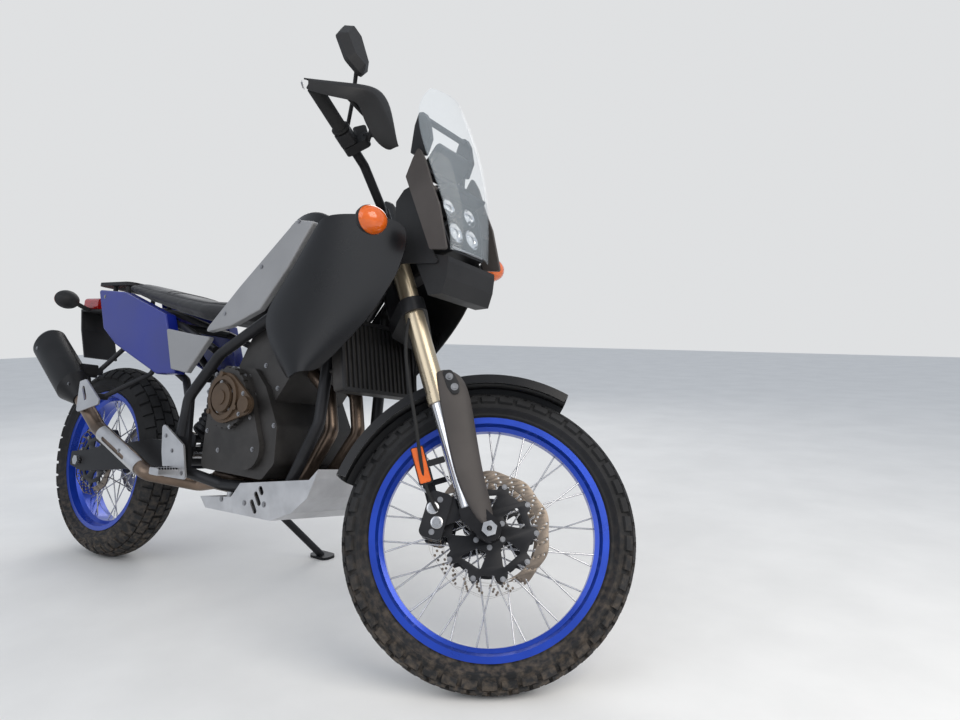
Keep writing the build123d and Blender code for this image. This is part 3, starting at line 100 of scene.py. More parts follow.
CHASSIS = frame_of(chassis_x, rear_axis, chassis_z, chassis_origin)
FORK = frame_of(front_axis.cross(steer_axis), front_axis, steer_axis,
                chassis_origin + chassis_x * (WHEELBASE + TRAIL) * MM)
FRONT_WHEEL = frame_of(front_axis.cross(steer_axis), front_axis, steer_axis, front_centre)
REAR_WHEEL = frame_of(chassis_x, rear_axis, chassis_z, rear_centre)


# Sizes and colours that a user would change

class TyreSettings(bpy.types.PropertyGroup):
    """Tread of both tyres."""
    front_pitches: IntProperty(name="Front pitches", description="Repeats of the front tread", default=46,
                               min=20)
    rear_pitches: IntProperty(name="Rear pitches", description="Repeats of the rear tread", default=40,
                              min=20)
    depth: FloatProperty(name="Tread depth", description="Height of the blocks in millimetres", default=7.5,
                         min=2)


class PaintSettings(bpy.types.PropertyGroup):
    """Colours of the painted and moulded pieces."""
    rim: FloatVectorProperty(name="Rims", description="Anodised rims", subtype="COLOR",
                             default=(0.007, 0.050, 0.44))
    tail: FloatVectorProperty(name="Tail panels", description="Paint of the tail", subtype="COLOR",
                              default=(0.004, 0.014, 0.21))
    panel: FloatVectorProperty(name="Side panels", description="Paint of the tank and side panels",
                               subtype="COLOR", default=(0.25, 0.25, 0.255))
    lens: FloatVectorProperty(name="Indicators", description="Indicator lenses", subtype="COLOR",
                              default=(0.95, 0.16, 0.01))


class StageSettings(bpy.types.PropertyGroup):
    """Camera and lights."""
    lens: FloatProperty(name="Focal length", description="Camera lens in millimetres", default=26.896)
    key: FloatProperty(name="Key light", description="Power of the large soft light", default=70.0,
                       unit="POWER")
    fill: FloatProperty(name="Fill light", description="Power of the light from behind", default=40.0,
                        unit="POWER")


# Node helpers

class Shade:
    """Builds one procedural material, node by node."""

    def __init__(self, name):
        self.material = bpy.data.materials.new(name)
        self.material.use_nodes = True
        self.tree = self.material.node_tree
        self.tree.nodes.clear()
        self.output = self.add("ShaderNodeOutputMaterial")
        self.shader = self.add("ShaderNodeBsdfPrincipled")
        self.join(self.shader, "BSDF", self.output, "Surface")
        self.coords = self.add("ShaderNodeTexCoord")
        self.object = (self.coords, "Object")

    def add(self, kind, **settings):
        """New node with its settings."""
        made = self.tree.nodes.new(kind)
        for key, value in settings.items():
            setattr(made, key, value)
        return made

    def join(self, source, output, target, socket):
        """Link between two nodes."""
        self.tree.links.new(source.outputs[output], target.inputs[socket])

    def noise(self, scale, detail=3.0, vector=None, rough=0.55):
        """Noise texture on object coordinates."""
        made = self.add("ShaderNodeTexNoise")
        made.inputs["Scale"].default_value = scale
        made.inputs["Detail"].default_value = detail
        made.inputs["Roughness"].default_value = rough
        self.join(*(vector or self.object), made, "Vector")
        return made, "Fac"

    def span(self, source, low, high, to_low=0.0, to_high=1.0):
        """Map Range of a value, clamped."""
        made = self.add("ShaderNodeMapRange")
        for socket, value in (("From Min", low), ("From Max", high), ("To Min", to_low), ("To Max", to_high)):
            made.inputs[socket].default_value = value
        self.join(*source, made, "Value")
        return made, "Result"

    def blend(self, factor, first, second):
        """Mix of two colours, each a tuple or a node's output."""
        made = self.add("ShaderNodeMix", data_type="RGBA")
        self.join(*factor, made, 0)
        for socket, value in ((6, first), (7, second)):
            if isinstance(value[0], (int, float)):
                made.inputs[socket].default_value = (*value[:3], 1.0)
            else:
                self.join(*value, made, socket)
        return made, 2

    def local(self, matrix):
        """Object coordinates turned into millimetres of one of the machine's frames."""
        back = matrix.inverted()
        place, turn, size = back.decompose()
        made = self.add("ShaderNodeMapping", vector_type="POINT")
        made.inputs["Location"].default_value = place
        made.inputs["Rotation"].default_value = turn.to_euler("XYZ")
        made.inputs["Scale"].default_value = size
        self.join(*self.object, made, "Vector")
        return made, "Vector"

    def part_of(self, vector, axis):
        """One coordinate of a vector."""
        made = self.add("ShaderNodeSeparateXYZ")
        self.join(*vector, made, "Vector")
        return made, axis

    def radius(self, vector):
        """Distance from the local Y axis."""
        flat = self.add("ShaderNodeVectorMath", operation="MULTIPLY")
        flat.inputs[1].default_value = (1.0, 0.0, 1.0)
        self.join(*vector, flat, 0)
        size = self.add("ShaderNodeVectorMath", operation="LENGTH")
        self.join(flat, "Vector", size, 0)
        return size, "Value"

    def bump(self, height, strength, distance=0.001):
        """Bump of the surface from a height."""
        made = self.add("ShaderNodeBump")
        made.inputs["Strength"].default_value = strength
        made.inputs["Distance"].default_value = distance
        self.join(*height, made, "Height")
        self.join(made, "Normal", self.shader, "Normal")

    def set(self, **values):
        """Constant values on the shader's own sockets."""
        for name, value in values.items():
            self.shader.inputs[name.replace("_", " ")].default_value = value


# Brown of dust and of painted light bounced up from the floor, and the height in metres up to which it reaches
DUST_AND_FLOOR_BOUNCE = (0.20, 0.155, 0.115)
DUST_AND_FLOOR_BOUNCE_TOP = 0.42


def finish(name, colour, roughness=0.5, spread=0.18, patch=9.0, grain=900.0, relief=0.08, dust_and_bounce=0.0, **values):
    """Everyday material: its colour and gloss vary a little, with a fine grain, and near the floor specks of dust
    with painted light bounced up from the floor.
    """
    shade = Shade(name)
    patches = shade.noise(patch, 4.0)
    dark = tuple(c * (1 - spread) for c in colour)
    light = tuple(min(1.0, c * (1 + spread)) for c in colour)
    tone = shade.blend(shade.span(patches, 0.35, 0.65), dark, light)
    # Painted floor bounce light with dust: the colour turns brown in specks towards the bottom of the piece
    if dust_and_bounce:
        height = shade.part_of(shade.object, "Z")
        low = shade.span(height, DUST_AND_FLOOR_BOUNCE_TOP, 0.0, 0.0, dust_and_bounce)
        speck = shade.span(shade.noise(60.0, 6.0), 0.42, 0.68)
        dust_and_bounce_mask = shade.add("ShaderNodeMath", operation="MULTIPLY")
        shade.join(*low, dust_and_bounce_mask, 0)
        shade.join(*speck, dust_and_bounce_mask, 1)
        tone = shade.blend((dust_and_bounce_mask, "Value"), tone, DUST_AND_FLOOR_BOUNCE)
    shade.join(*tone, shade.shader, "Base Color")
    gloss = shade.span(patches, 0.3, 0.7, max(0.02, roughness - 0.06), min(1.0, roughness + 0.07))
    shade.join(*gloss, shade.shader, "Roughness")
    if relief:
        shade.bump(shade.noise(grain, 2.0), relief)
    shade.set(**values)
    return shade


def glass(name, colour, roughness=0.03, ior=1.49):
    """Clear or tinted moulded lens."""
    shade = Shade(name)
    haze = shade.noise(14.0, 3.0)
    tone = shade.blend(haze, colour, tuple(min(1.0, c * 1.06) for c in colour))
    shade.join(*tone, shade.shader, "Base Color")
    shade.join(*shade.span(haze, 0.3, 0.7, roughness, roughness + 0.03), shade.shader, "Roughness")
    shade.set(Transmission_Weight=1.0, IOR=ior)
    return shade


def two_tone(name, first, second, split, blur, matrix, axis, roughness=(0.4, 0.4), **values):
    """Material of a node with two finishes, parted at one place along an axis or a radius."""
    shade = Shade(name)
    place = shade.local(matrix)
    value = shade.radius(place) if axis == "R" else shade.part_of(place, axis)
    side = shade.span(value, split - blur, split + blur)
    speckle = shade.span(shade.noise(30.0, 4.0), 0.35, 0.65)
    one = shade.blend(speckle, tuple(c * 0.8 for c in first), first)
    two = shade.blend(speckle, tuple(c * 0.85 for c in second), second)
    shade.join(*shade.blend(side, one, two), shade.shader, "Base Color")
    shade.join(*shade.span(value, split - blur, split + blur, *roughness), shade.shader, "Roughness")
    shade.bump(shade.noise(900.0, 2.0), 0.05)
    shade.set(**values)
    return shade


# Finishes, each named for what it is on this machine

def make_finishes(paint):
    """All materials by the record's slot names, plus those of the added pieces."""
    made = {
        "tyre": finish("tyre_rubber", (0.026, 0.026, 0.027), 0.78, 0.25, 14.0, 700.0, 0.25, dust_and_bounce=0.55,
                       Specular_IOR_Level=0.22),
        "rim_blue": finish("rim_anodised", tuple(paint.rim), 0.30, 0.10, 9.0, 1500.0, 0.03, Metallic=0.55,
                           Coat_Weight=0.4, Coat_Roughness=0.15),
        "disc_steel": finish("disc_ground", (0.20, 0.165, 0.135), 0.36, 0.15, 25.0, 1800.0, 0.05,
                             Metallic=0.9),
        "sprocket_steel": finish("sprocket_steel", (0.40, 0.40, 0.41), 0.38, 0.15, 25.0, 1500.0, 0.05,
                                 Metallic=0.9),
        "fork_gold": finish("fork_bronze", (0.50, 0.42, 0.30), 0.28, 0.08, 7.0, 1500.0, 0.02, Metallic=0.85),
        "guard_grey": finish("guard_moulding", (0.070, 0.062, 0.058), 0.55, 0.12, 9.0, 1100.0, 0.20,
                             dust_and_bounce=0.25, Specular_IOR_Level=0.22),
        "black_metal": finish("black_satin", (0.022, 0.022, 0.024), 0.40, 0.20, 9.0, 1200.0, 0.05,
                              Metallic=0.35, Specular_IOR_Level=0.22),
        "black_plastic": finish("black_moulding", (0.020, 0.020, 0.021), 0.52, 0.18, 9.0, 1100.0, 0.16,
                                Specular_IOR_Level=0.22),
        "gloss_black": finish("black_shell", (0.007, 0.007, 0.008), 0.30, 0.15, 6.0, 1300.0, 0.06,
                              Coat_Weight=0.12,
                              Coat_Roughness=0.25, Specular_IOR_Level=0.22),
        "frame_paint": finish("frame_powder", (0.024, 0.024, 0.026), 0.38, 0.18, 9.0, 900.0, 0.07,
                              Metallic=0.3, Specular_IOR_Level=0.22),
        "engine_grey": finish("cast_case", (0.050, 0.047, 0.045), 0.50, 0.22, 12.0, 600.0, 0.22, Metallic=0.6,
                              dust_and_bounce=0.35),
        "cover_bronze": finish("cast_bronze", (0.105, 0.070, 0.045), 0.42, 0.18, 10.0, 700.0, 0.15,
                               Metallic=0.65),
        "exhaust_steel": finish("pipe_steel", (0.17, 0.125, 0.095), 0.34, 0.35, 8.0, 1300.0, 0.05,
                                Metallic=0.9,
                                dust_and_bounce=0.3),
        "muffler_black": finish("can_black", (0.018, 0.018, 0.019), 0.42, 0.18, 9.0, 1000.0, 0.08,
                                Metallic=0.4, Specular_IOR_Level=0.22),
        "shield_silver": finish("shield_satin", (0.50, 0.50, 0.51), 0.33, 0.10, 12.0, 1500.0, 0.05,
                                Metallic=0.75),
        "radiator_core": finish("radiator_fins", (0.045, 0.042, 0.040), 0.55, 0.25, 30.0, 700.0, 0.15,
                                Metallic=0.6),
        "tank_black": finish("tank_shell", (0.007, 0.007, 0.008), 0.28, 0.12, 6.0, 1300.0, 0.05,
                             Coat_Weight=0.15,
                             Coat_Roughness=0.2, Specular_IOR_Level=0.22),
        "panel_grey": finish("panel_paint", tuple(paint.panel), 0.36, 0.05, 6.0, 1300.0, 0.03,
                             Coat_Weight=0.35,
                             Coat_Roughness=0.18),
        "panel_blue": finish("tail_paint", tuple(paint.tail), 0.36, 0.08, 6.0, 1300.0, 0.03, Coat_Weight=0.4,
                             Coat_Roughness=0.15),
        "seat_thread": finish("seat_thread", (0.06, 0.06, 0.065), 0.7, 0.1, 8.0, 900.0, 0.1),
        "seat_cover": finish("seat_vinyl", (0.022, 0.022, 0.024), 0.58, 0.15, 8.0, 420.0, 0.35,
                             Sheen_Weight=0.2, Specular_IOR_Level=0.22),
        "rubber": finish("grip_rubber", (0.020, 0.020, 0.020), 0.72, 0.15, 12.0, 700.0, 0.25,
                         Specular_IOR_Level=0.22),
        "amber": finish("amber_lens", tuple(paint.lens), 0.16, 0.10, 30.0, 350.0, 0.12,
                        Transmission_Weight=0.25,
                        Coat_Weight=0.6, Coat_Roughness=0.05),
        "red_lens": finish("red_lens", (0.42, 0.010, 0.008), 0.18, 0.10, 30.0, 350.0, 0.12,
                           Transmission_Weight=0.2, Coat_Weight=0.6, Coat_Roughness=0.05),
        "skid_alu": finish("skid_brushed", (0.53, 0.53, 0.54), 0.36, 0.10, 14.0, 1300.0, 0.06, Metallic=0.7,
                           dust_and_bounce=0.35),
        "chain_steel": finish("chain_oiled", (0.16, 0.145, 0.13), 0.42, 0.25, 30.0, 900.0, 0.08,
                              Metallic=0.85),
        "spoke_steel": two_tone("hub_and_spokes", (0.020, 0.020, 0.022), (0.62, 0.62, 0.63), 47.0, 1.0,
                                REAR_WHEEL,
                                "R", (0.42, 0.25), Metallic=0.8),
        "front_spokes": two_tone("front_hub_and_spokes", (0.020, 0.020, 0.022), (0.62, 0.62, 0.63), 41.0, 1.0,
                                 FRONT_WHEEL, "R", (0.42, 0.25), Metallic=0.8),
        "fork_chrome": two_tone("fork_foot_and_slider", (0.025, 0.025, 0.027), (0.72, 0.72, 0.74), 420.0,
                                2.0, FORK,
                                "Z", (0.42, 0.10), Metallic=0.9),
        "axle_steel": finish("axle_steel", (0.55, 0.55, 0.56), 0.26, 0.10, 30.0, 1500.0, 0.04, Metallic=0.95),
        "bolt_steel": finish("bolt_steel", (0.30, 0.30, 0.31), 0.32, 0.15, 60.0, 1500.0, 0.04, Metallic=0.9),
        "mirror_face": finish("mirror_face", (0.78, 0.80, 0.82), 0.03, 0.02, 8.0, 900.0, 0.0, Metallic=1.0),
        "lamp_housing": finish("lamp_housing", (0.014, 0.014, 0.015), 0.34, 0.15, 12.0, 1300.0, 0.06,
                               Specular_IOR_Level=0.22),
        "screen_clear": finish("screen_clear", (0.70, 0.78, 0.84), 0.05, 0.05, 8.0, 900.0, 0.0, Alpha=0.13,
                               Coat_Weight=0.5, Coat_Roughness=0.03),
        "screen_edge": finish("screen_edge", (0.55, 0.63, 0.68), 0.12, 0.05, 8.0, 900.0, 0.0, Alpha=0.55),
        "lamp_glass": glass("lamp_cover", (0.94, 0.96, 0.98)),
        "lamp_lens": glass("lamp_lens", (0.86, 0.90, 0.94), 0.04),
        "lamp_chrome": finish("lamp_reflector", (0.80, 0.81, 0.83), 0.10, 0.05, 40.0, 900.0, 0.05,
                              Metallic=1.0),
    }
    return {key: shade.material for key, shade in made.items()}


FINISH = {}

# Nodes whose own material differs from their slot's
NODE_FINISH = {"headlamp": "lamp_housing", "front_hub": "front_spokes", "front_axle": "axle_steel",
               "rear_axle": "axle_steel",
               "swingarm_bolt": "axle_steel"}


# Mesh helpers, in millimetres of a local frame

def mesh_from(name, points, faces):
    """Mesh from points and faces."""
    mesh = bpy.data.meshes.new(name)
    mesh.from_pydata([tuple(p) for p in points], [], faces)
    mesh.validate()
    return mesh


def outwards(mesh, merge=0.0):
    """Merges doubles and makes the faces point outwards."""
    work = bmesh.new()
    work.from_mesh(mesh)
    if merge:
        bmesh.ops.remove_doubles(work, verts=work.verts, dist=merge)
    bmesh.ops.recalc_face_normals(work, faces=work.faces)
    work.to_mesh(mesh)
    work.free()
    return mesh


def lathe(name, profile, steps, closed=True):
    """Ring of a profile of (radius, y) points turned about the local Y axis."""
    points, faces = [], []
    count = len(profile)
    for step in range(steps):
        angle = tau * step / steps
        points += [(r * cos(angle), y, r * sin(angle)) for r, y in profile]
    spans = count if closed else count - 1
    for step in range(steps):
        ahead = (step + 1) % steps
        for k in range(spans):
            after = (k + 1) % count
            faces.append((step * count + k, step * count + after, ahead * count + after, ahead * count + k))
    return outwards(mesh_from(name, points, faces))


def joined(name, *meshes):
    """One mesh from several."""
    points, faces = [], []
    for mesh in meshes:
        base = len(points)
        points += [v.co.copy() for v in mesh.vertices]
        faces += [tuple(base + v for v in p.vertices) for p in mesh.polygons]
    return mesh_from(name, points, faces)


def frame_at(origin, axis, side=(0.0, 0.0, 1.0)):
    """Place whose Y runs along an axis, with its Z as near as it can be to a side direction."""
    y_axis = Vector(axis).normalized()
    x_axis = y_axis.cross(Vector(side)).normalized()
    z_axis = x_axis.cross(y_axis)
    matrix = Matrix((x_axis, y_axis, z_axis)).transposed().to_4x4()
    matrix.translation = Vector(origin)
    return matrix


def circle(x, z, radius, steps=20):
    """Round outline."""
    return [(x + radius * cos(tau * k / steps), z + radius * sin(tau * k / steps)) for k in range(steps)]


def slot(x, z, length, width, angle=0.0, steps=6):
    """Outline of a long hole, overall length and width in millimetres, turned by degrees."""
    points = []
    for end in (1, -1):
        for k in range(steps + 1):
            turn = pi * k / steps - pi / 2 + (0 if end > 0 else pi)
            points.append((end * (length - width) / 2 + width / 2 * cos(turn), width / 2 * sin(turn)))
    c, s = cos(radians(angle)), sin(radians(angle))
    return [(x + u * c - v * s, z + u * s + v * c) for u, v in points]


def eased(outline, radius, steps=4):
    """Outline with every corner rounded."""
    points = []
    count = len(outline)
    for k in range(count):
        here = Vector(outline[k])
        before = Vector(outline[k - 1]) - here
        after = Vector(outline[(k + 1) % count]) - here
        reach = min(radius, before.length * 0.45, after.length * 0.45)
        start, end = here + before.normalized() * reach, here + after.normalized() * reach
        for step in range(steps + 1):
            s = step / steps
            points.append(tuple(start * (1 - s) ** 2 + here * 2 * s * (1 - s) + end * s * s))
    return points


def plate(name, outer, holes, low, high, edge=0.8):
    """Plate seen from the side, with holes and a rounded edge, between two places on the Y axis."""
    curve = bpy.data.curves.new(name, "CURVE")
    curve.dimensions = "2D"
    curve.fill_mode = "BOTH"
    curve.bevel_depth = edge
    curve.bevel_resolution = 1
    curve.offset = -edge
    curve.extrude = (high - low) / 2 - edge
    for outline in (outer, *holes):
        spline = curve.splines.new("POLY")
        spline.points.add(len(outline) - 1)
        for point, (x, z) in zip(spline.points, outline):
            point.co = (x, z, 0.0, 1.0)
        spline.use_cyclic_u = True
    mesh = as_mesh(curve)
    turn = Matrix(((1, 0, 0, 0), (0, 0, -1, (low + high) / 2), (0, 1, 0, 0), (0, 0, 0, 1)))
    mesh.transform(turn)
    return outwards(mesh, 0.001)


def as_mesh(curve):
    """Mesh of a curve."""
    source = bpy.data.objects.new(curve.name, curve)
    bpy.context.scene.collection.objects.link(source)
    graph = bpy.context.evaluated_depsgraph_get()
    mesh = bpy.data.meshes.new_from_object(source.evaluated_get(graph))
    mesh.name = curve.name
    bpy.data.objects.remove(source)
    return mesh


def pipe(name, points, radius, smooth=4):
    """Round pipe on a smooth line through a few points, capped at both ends."""
    curve = bpy.data.curves.new(name, "CURVE")
    curve.dimensions = "3D"
    curve.bevel_depth = radius
    curve.bevel_resolution = smooth
    curve.use_fill_caps = True
    spline = curve.splines.new("NURBS")
    spline.points.add(len(points) - 1)
    for point, place in zip(spline.points, points):
        point.co = (*place, 1.0)
    spline.use_endpoint_u = True
    spline.order_u = 3
    spline.resolution_u = 8
    return outwards(as_mesh(curve), 0.001)


def turned(name, profile, origin, axis, steps=36, side=(0.0, 0.0, 1.0), stretch=(1.0, 1.0)):
    """Lathe turned shape of (radius, along) points, placed on an axis."""
    mesh = lathe(name, profile, steps)
    mesh.transform(Matrix.Diagonal((stretch[0], 1.0, stretch[1], 1.0)))
    outwards(mesh, 0.01)
    mesh.transform(frame_at(origin, axis, side))
    return mesh


def panel(name, rows):
    """Open surface through rows of points."""
    points = [p for row in rows for p in row]
    across = len(rows[0])
    faces = []
    for i in range(len(rows) - 1):
        for j in range(across - 1):
            k = i * across + j
            faces.append((k, k + 1, k + across + 1, k + across))
    return mesh_from(name, points, faces)


def piece(mesh, matrix, body, slot, finish_name=None, replaces=(), smooth=35.0):
    """Finished object: its place goes into its mesh, and it rides on a body."""
    mesh.transform(matrix)
    if smooth:
        mesh.polygons.foreach_set("use_smooth", [True] * len(mesh.polygons))
        mesh.set_sharp_from_angle(angle=radians(smooth))
    made = bpy.data.objects.new(mesh.name, mesh)
    bpy.context.scene.collection.objects.link(made)
    mesh.materials.clear()
    mesh.materials.append(FINISH[finish_name or slot])
    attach(made, body)
    if replaces:
        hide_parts(*replaces)
    return made


# Geometry node trees

def new_tree(name, **inputs):
    """Geometry node group with a geometry in and out and named inputs."""
    tree = bpy.data.node_groups.new(name, "GeometryNodeTree")
    tree.interface.new_socket("Geometry", in_out="INPUT", socket_type="NodeSocketGeometry")
    for label, (kind, default) in inputs.items():
        socket = tree.interface.new_socket(label, in_out="INPUT", socket_type=kind)
        if default is not None:
            socket.default_value = default
    tree.interface.new_socket("Geometry", in_out="OUTPUT", socket_type="NodeSocketGeometry")
    return tree, tree.nodes.new("NodeGroupInput"), tree.nodes.new("NodeGroupOutput")


def ring_tree():
    """Copies of the piece turned about the local Y axis, evenly round a full turn."""
    tree, start, end = new_tree("ring_of_copies", Count=("NodeSocketInt", 12),
                                Finish=("NodeSocketMaterial", None))
    add, link = tree.nodes.new, tree.links.new
    line = add("GeometryNodeMeshLine")
    link(start.outputs["Count"], line.inputs["Count"])
    line.inputs["Offset"].default_value = (0.0, 0.0, 0.0)
    points = add("GeometryNodeMeshToPoints")
    link(line.outputs["Mesh"], points.inputs["Mesh"])
    index = add("GeometryNodeInputIndex")
    share = add("ShaderNodeMath")
    share.operation = "DIVIDE"
    link(index.outputs[0], share.inputs[0])
    link(start.outputs["Count"], share.inputs[1])
    turn = add("ShaderNodeMath")
    turn.operation = "MULTIPLY"
    turn.inputs[1].default_value = tau
    link(share.outputs[0], turn.inputs[0])
    angles = add("ShaderNodeCombineXYZ")
    link(turn.outputs[0], angles.inputs["Y"])
    copies = add("GeometryNodeInstanceOnPoints")
    link(points.outputs[0], copies.inputs["Points"])
    link(start.outputs["Geometry"], copies.inputs["Instance"])
    link(angles.outputs[0], copies.inputs["Rotation"])
    real = add("GeometryNodeRealizeInstances")
    link(copies.outputs[0], real.inputs[0])
    cover = add("GeometryNodeSetMaterial")
    link(real.outputs[0], cover.inputs["Geometry"])
    link(start.outputs["Finish"], cover.inputs["Material"])
    link(cover.outputs[0], end.inputs["Geometry"])
    return tree


def bolt_tree():
    """Bolt with a washer at every point, turned to the axis that the point carries."""
    tree, start, end = new_tree("bolts", Head=("NodeSocketFloat", 5.0), Height=("NodeSocketFloat", 4.0),
                                Finish=("NodeSocketMaterial", None))
    add, link = tree.nodes.new, tree.links.new

    def column(sides, wide, tall, lift):
        """Short cylinder that stands on its point."""
        made = add("GeometryNodeMeshCylinder")
        made.inputs["Vertices"].default_value = sides
        radius = add("ShaderNodeMath")
        radius.operation = "MULTIPLY"
        radius.inputs[1].default_value = wide
        link(start.outputs["Head"], radius.inputs[0])
        link(radius.outputs[0], made.inputs["Radius"])
        depth = add("ShaderNodeMath")
        depth.operation = "MULTIPLY"
        depth.inputs[1].default_value = tall
        link(start.outputs["Height"], depth.inputs[0])
        link(depth.outputs[0], made.inputs["Depth"])
        rise = add("ShaderNodeMath")
        rise.operation = "MULTIPLY"
        rise.inputs[1].default_value = lift
        link(start.outputs["Height"], rise.inputs[0])
        shift = add("ShaderNodeCombineXYZ")
        link(rise.outputs[0], shift.inputs["Z"])
        move = add("GeometryNodeTransform")
        link(made.outputs["Mesh"], move.inputs["Geometry"])
        link(shift.outputs[0], move.inputs["Translation"])
        return move

    both = add("GeometryNodeJoinGeometry")
    link(column(6, 1.0, 1.0, 0.5).outputs[0], both.inputs[0])
    link(column(18, 1.5, 0.3, 0.15).outputs[0], both.inputs[0])
    axis = add("GeometryNodeInputNamedAttribute")
    axis.data_type = "FLOAT_VECTOR"
    axis.inputs["Name"].default_value = "axis"
    turn = add("FunctionNodeAlignRotationToVector")
    turn.axis = "Z"
    link(axis.outputs["Attribute"], turn.inputs["Vector"])
    points = add("GeometryNodeMeshToPoints")
    link(start.outputs["Geometry"], points.inputs["Mesh"])
    copies = add("GeometryNodeInstanceOnPoints")
    link(points.outputs[0], copies.inputs["Points"])
    link(both.outputs[0], copies.inputs["Instance"])
    link(turn.outputs[0], copies.inputs["Rotation"])
    real = add("GeometryNodeRealizeInstances")
    link(copies.outputs[0], real.inputs[0])
    cover = add("GeometryNodeSetMaterial")
    link(real.outputs[0], cover.inputs["Geometry"])
    link(start.outputs["Finish"], cover.inputs["Material"])
    link(cover.outputs[0], end.inputs["Geometry"])
    return tree


def row_tree():
    """Small blocks set at even steps along an edge line, such as stitches, teeth and pins."""
    tree, start, end = new_tree("row_of_blocks", Step=("NodeSocketFloat", 5.0),
                                Length=("NodeSocketFloat", 3.0), Width=("NodeSocketFloat", 1.0),
                                Height=("NodeSocketFloat", 1.0), Finish=("NodeSocketMaterial", None))
    add, link = tree.nodes.new, tree.links.new
    line = add("GeometryNodeMeshToCurve")
    link(start.outputs["Geometry"], line.inputs["Mesh"])
    points = add("GeometryNodeCurveToPoints")
    points.mode = "LENGTH"
    link(line.outputs[0], points.inputs["Curve"])
    link(start.outputs["Step"], points.inputs["Length"])
    size = add("ShaderNodeCombineXYZ")
    for label, socket in (("Width", "X"), ("Height", "Y"), ("Length", "Z")):
        link(start.outputs[label], size.inputs[socket])
    block = add("GeometryNodeMeshCube")
    link(size.outputs[0], block.inputs["Size"])
    copies = add("GeometryNodeInstanceOnPoints")
    link(points.outputs["Points"], copies.inputs["Points"])
    link(block.outputs["Mesh"], copies.inputs["Instance"])
    link(points.outputs["Rotation"], copies.inputs["Rotation"])
    real = add("GeometryNodeRealizeInstances")
    link(copies.outputs[0], real.inputs[0])
    cover = add("GeometryNodeSetMaterial")
    link(real.outputs[0], cover.inputs["Geometry"])
    link(start.outputs["Finish"], cover.inputs["Material"])
    link(cover.outputs[0], end.inputs["Geometry"])
    return tree


TREES = {}


def bolts(name, places, matrix, body, head=5.0, height=4.0, slot_name="spoke_steel",
          finish_name="bolt_steel"):
    """Bolts at (x, y, z, axis x, axis y, axis z) places of a local frame."""
    guide = mesh_from(name, [p[:3] for p in places], [])
    axis = guide.attributes.new("axis", "FLOAT_VECTOR", "POINT")
    for k, place in enumerate(places):
        axis.data[k].vector = place[3:]
    heads = grown(guide, TREES["bolts"], Head=head, Height=height, Finish=FINISH[finish_name])
    return piece(heads, matrix, body, slot_name, finish_name, smooth=30.0)


def row(name, points, step, size):
    """Blocks of (length, width, height) along a line of points, as a mesh."""
    guide = bpy.data.meshes.new(name)
    guide.from_pydata([tuple(p) for p in points], [(k, k + 1) for k in range(len(points) - 1)], [])
    return grown(guide, TREES["row"], Step=step, Length=size[0], Width=size[1], Height=size[2],
                 Finish=FINISH["bolt_steel"])


def grown(mesh, tree, **values):
    """Mesh that a node tree makes of a starting mesh, as a plain mesh."""
    source = bpy.data.objects.new(mesh.name, mesh)
    bpy.context.scene.collection.objects.link(source)
    modifier = source.modifiers.new("grow", "NODES")
    modifier.node_group = tree
    names = {item.name: item.identifier for item in tree.interface.items_tree if item.in_out == "INPUT"}
    for label, value in values.items():
        modifier[names[label]] = value
    graph = bpy.context.evaluated_depsgraph_get()
    result = bpy.data.meshes.new_from_object(source.evaluated_get(graph))
    result.name = mesh.name
    source.modifiers.remove(modifier)
    bpy.data.objects.remove(source)
    return result


# Tyres

def tread_block(low, high, start, end, crown, middle, depth, draft=1.6, across=4, along=2):
    """One tread block: a patch of the crown between two angles across and two round the wheel."""
    points, faces = [], []

    def at(across_angle, round_angle, radius):
        reach = middle + radius * cos(across_angle)
        return (reach * cos(round_angle), radius * sin(across_angle), reach * sin(round_angle))

    for level, spread in ((0.0, draft), (depth, 0.0)):
        radius = crown - depth + level
        a_pad, r_pad = spread / crown, spread / (middle + crown)
        for i in range(across + 1):
            a = low - a_pad + (high - low + 2 * a_pad) * i / across
            for j in range(along + 1):
                r = start - r_pad + (end - start + 2 * r_pad) * j / along
                points.append(at(a, r, radius))
    row = along + 1
    layer = (across + 1) * row
    for i in range(across):
        for j in range(along):
            k = layer + i * row + j
            faces.append((k, k + 1, k + row + 1, k + row))
    rim = [i * row for i in range(across + 1)]
    rim += [across * row + j for j in range(1, along + 1)]
    rim += [i * row + along for i in range(across - 1, -1, -1)]
    rim += [j for j in range(along - 1, 0, -1)]
    for k, corner in enumerate(rim):
        after = rim[(k + 1) % len(rim)]
        faces.append((corner, after, after + layer, corner + layer))
    return mesh_from("block", points, faces)


def tyre_profile(radius, width, crown, bead, seat, depth):
    """Outer wall of the carcass under its blocks, from bead to bead and back inside."""
    middle = radius - crown
    under = crown - depth
    turn = atan2(width / 2, sqrt(crown * crown - width * width / 4))
    arc = [turn * (k / 10) for k in range(-10, 11)]
    outer = [(middle + under * cos(a), under * sin(a)) for a in arc]
    lip = bead + 16.0
    side_y = width / 2 * 0.985
    shoulder = middle + under * cos(turn)
    wall = [
        (shoulder - 8, side_y - 1.0), (shoulder - 10, side_y + 0.5), (shoulder - 12, side_y - 1.0),
        (lip + 14, (side_y + seat) / 2 + 2), (lip + 8, seat + 7), (lip + 4, seat + 6), (lip, seat + 1),
        (bead + 1.0, seat),
    ]
    left = [(r, -y) for r, y in reversed(wall)]
    return left + outer + wall


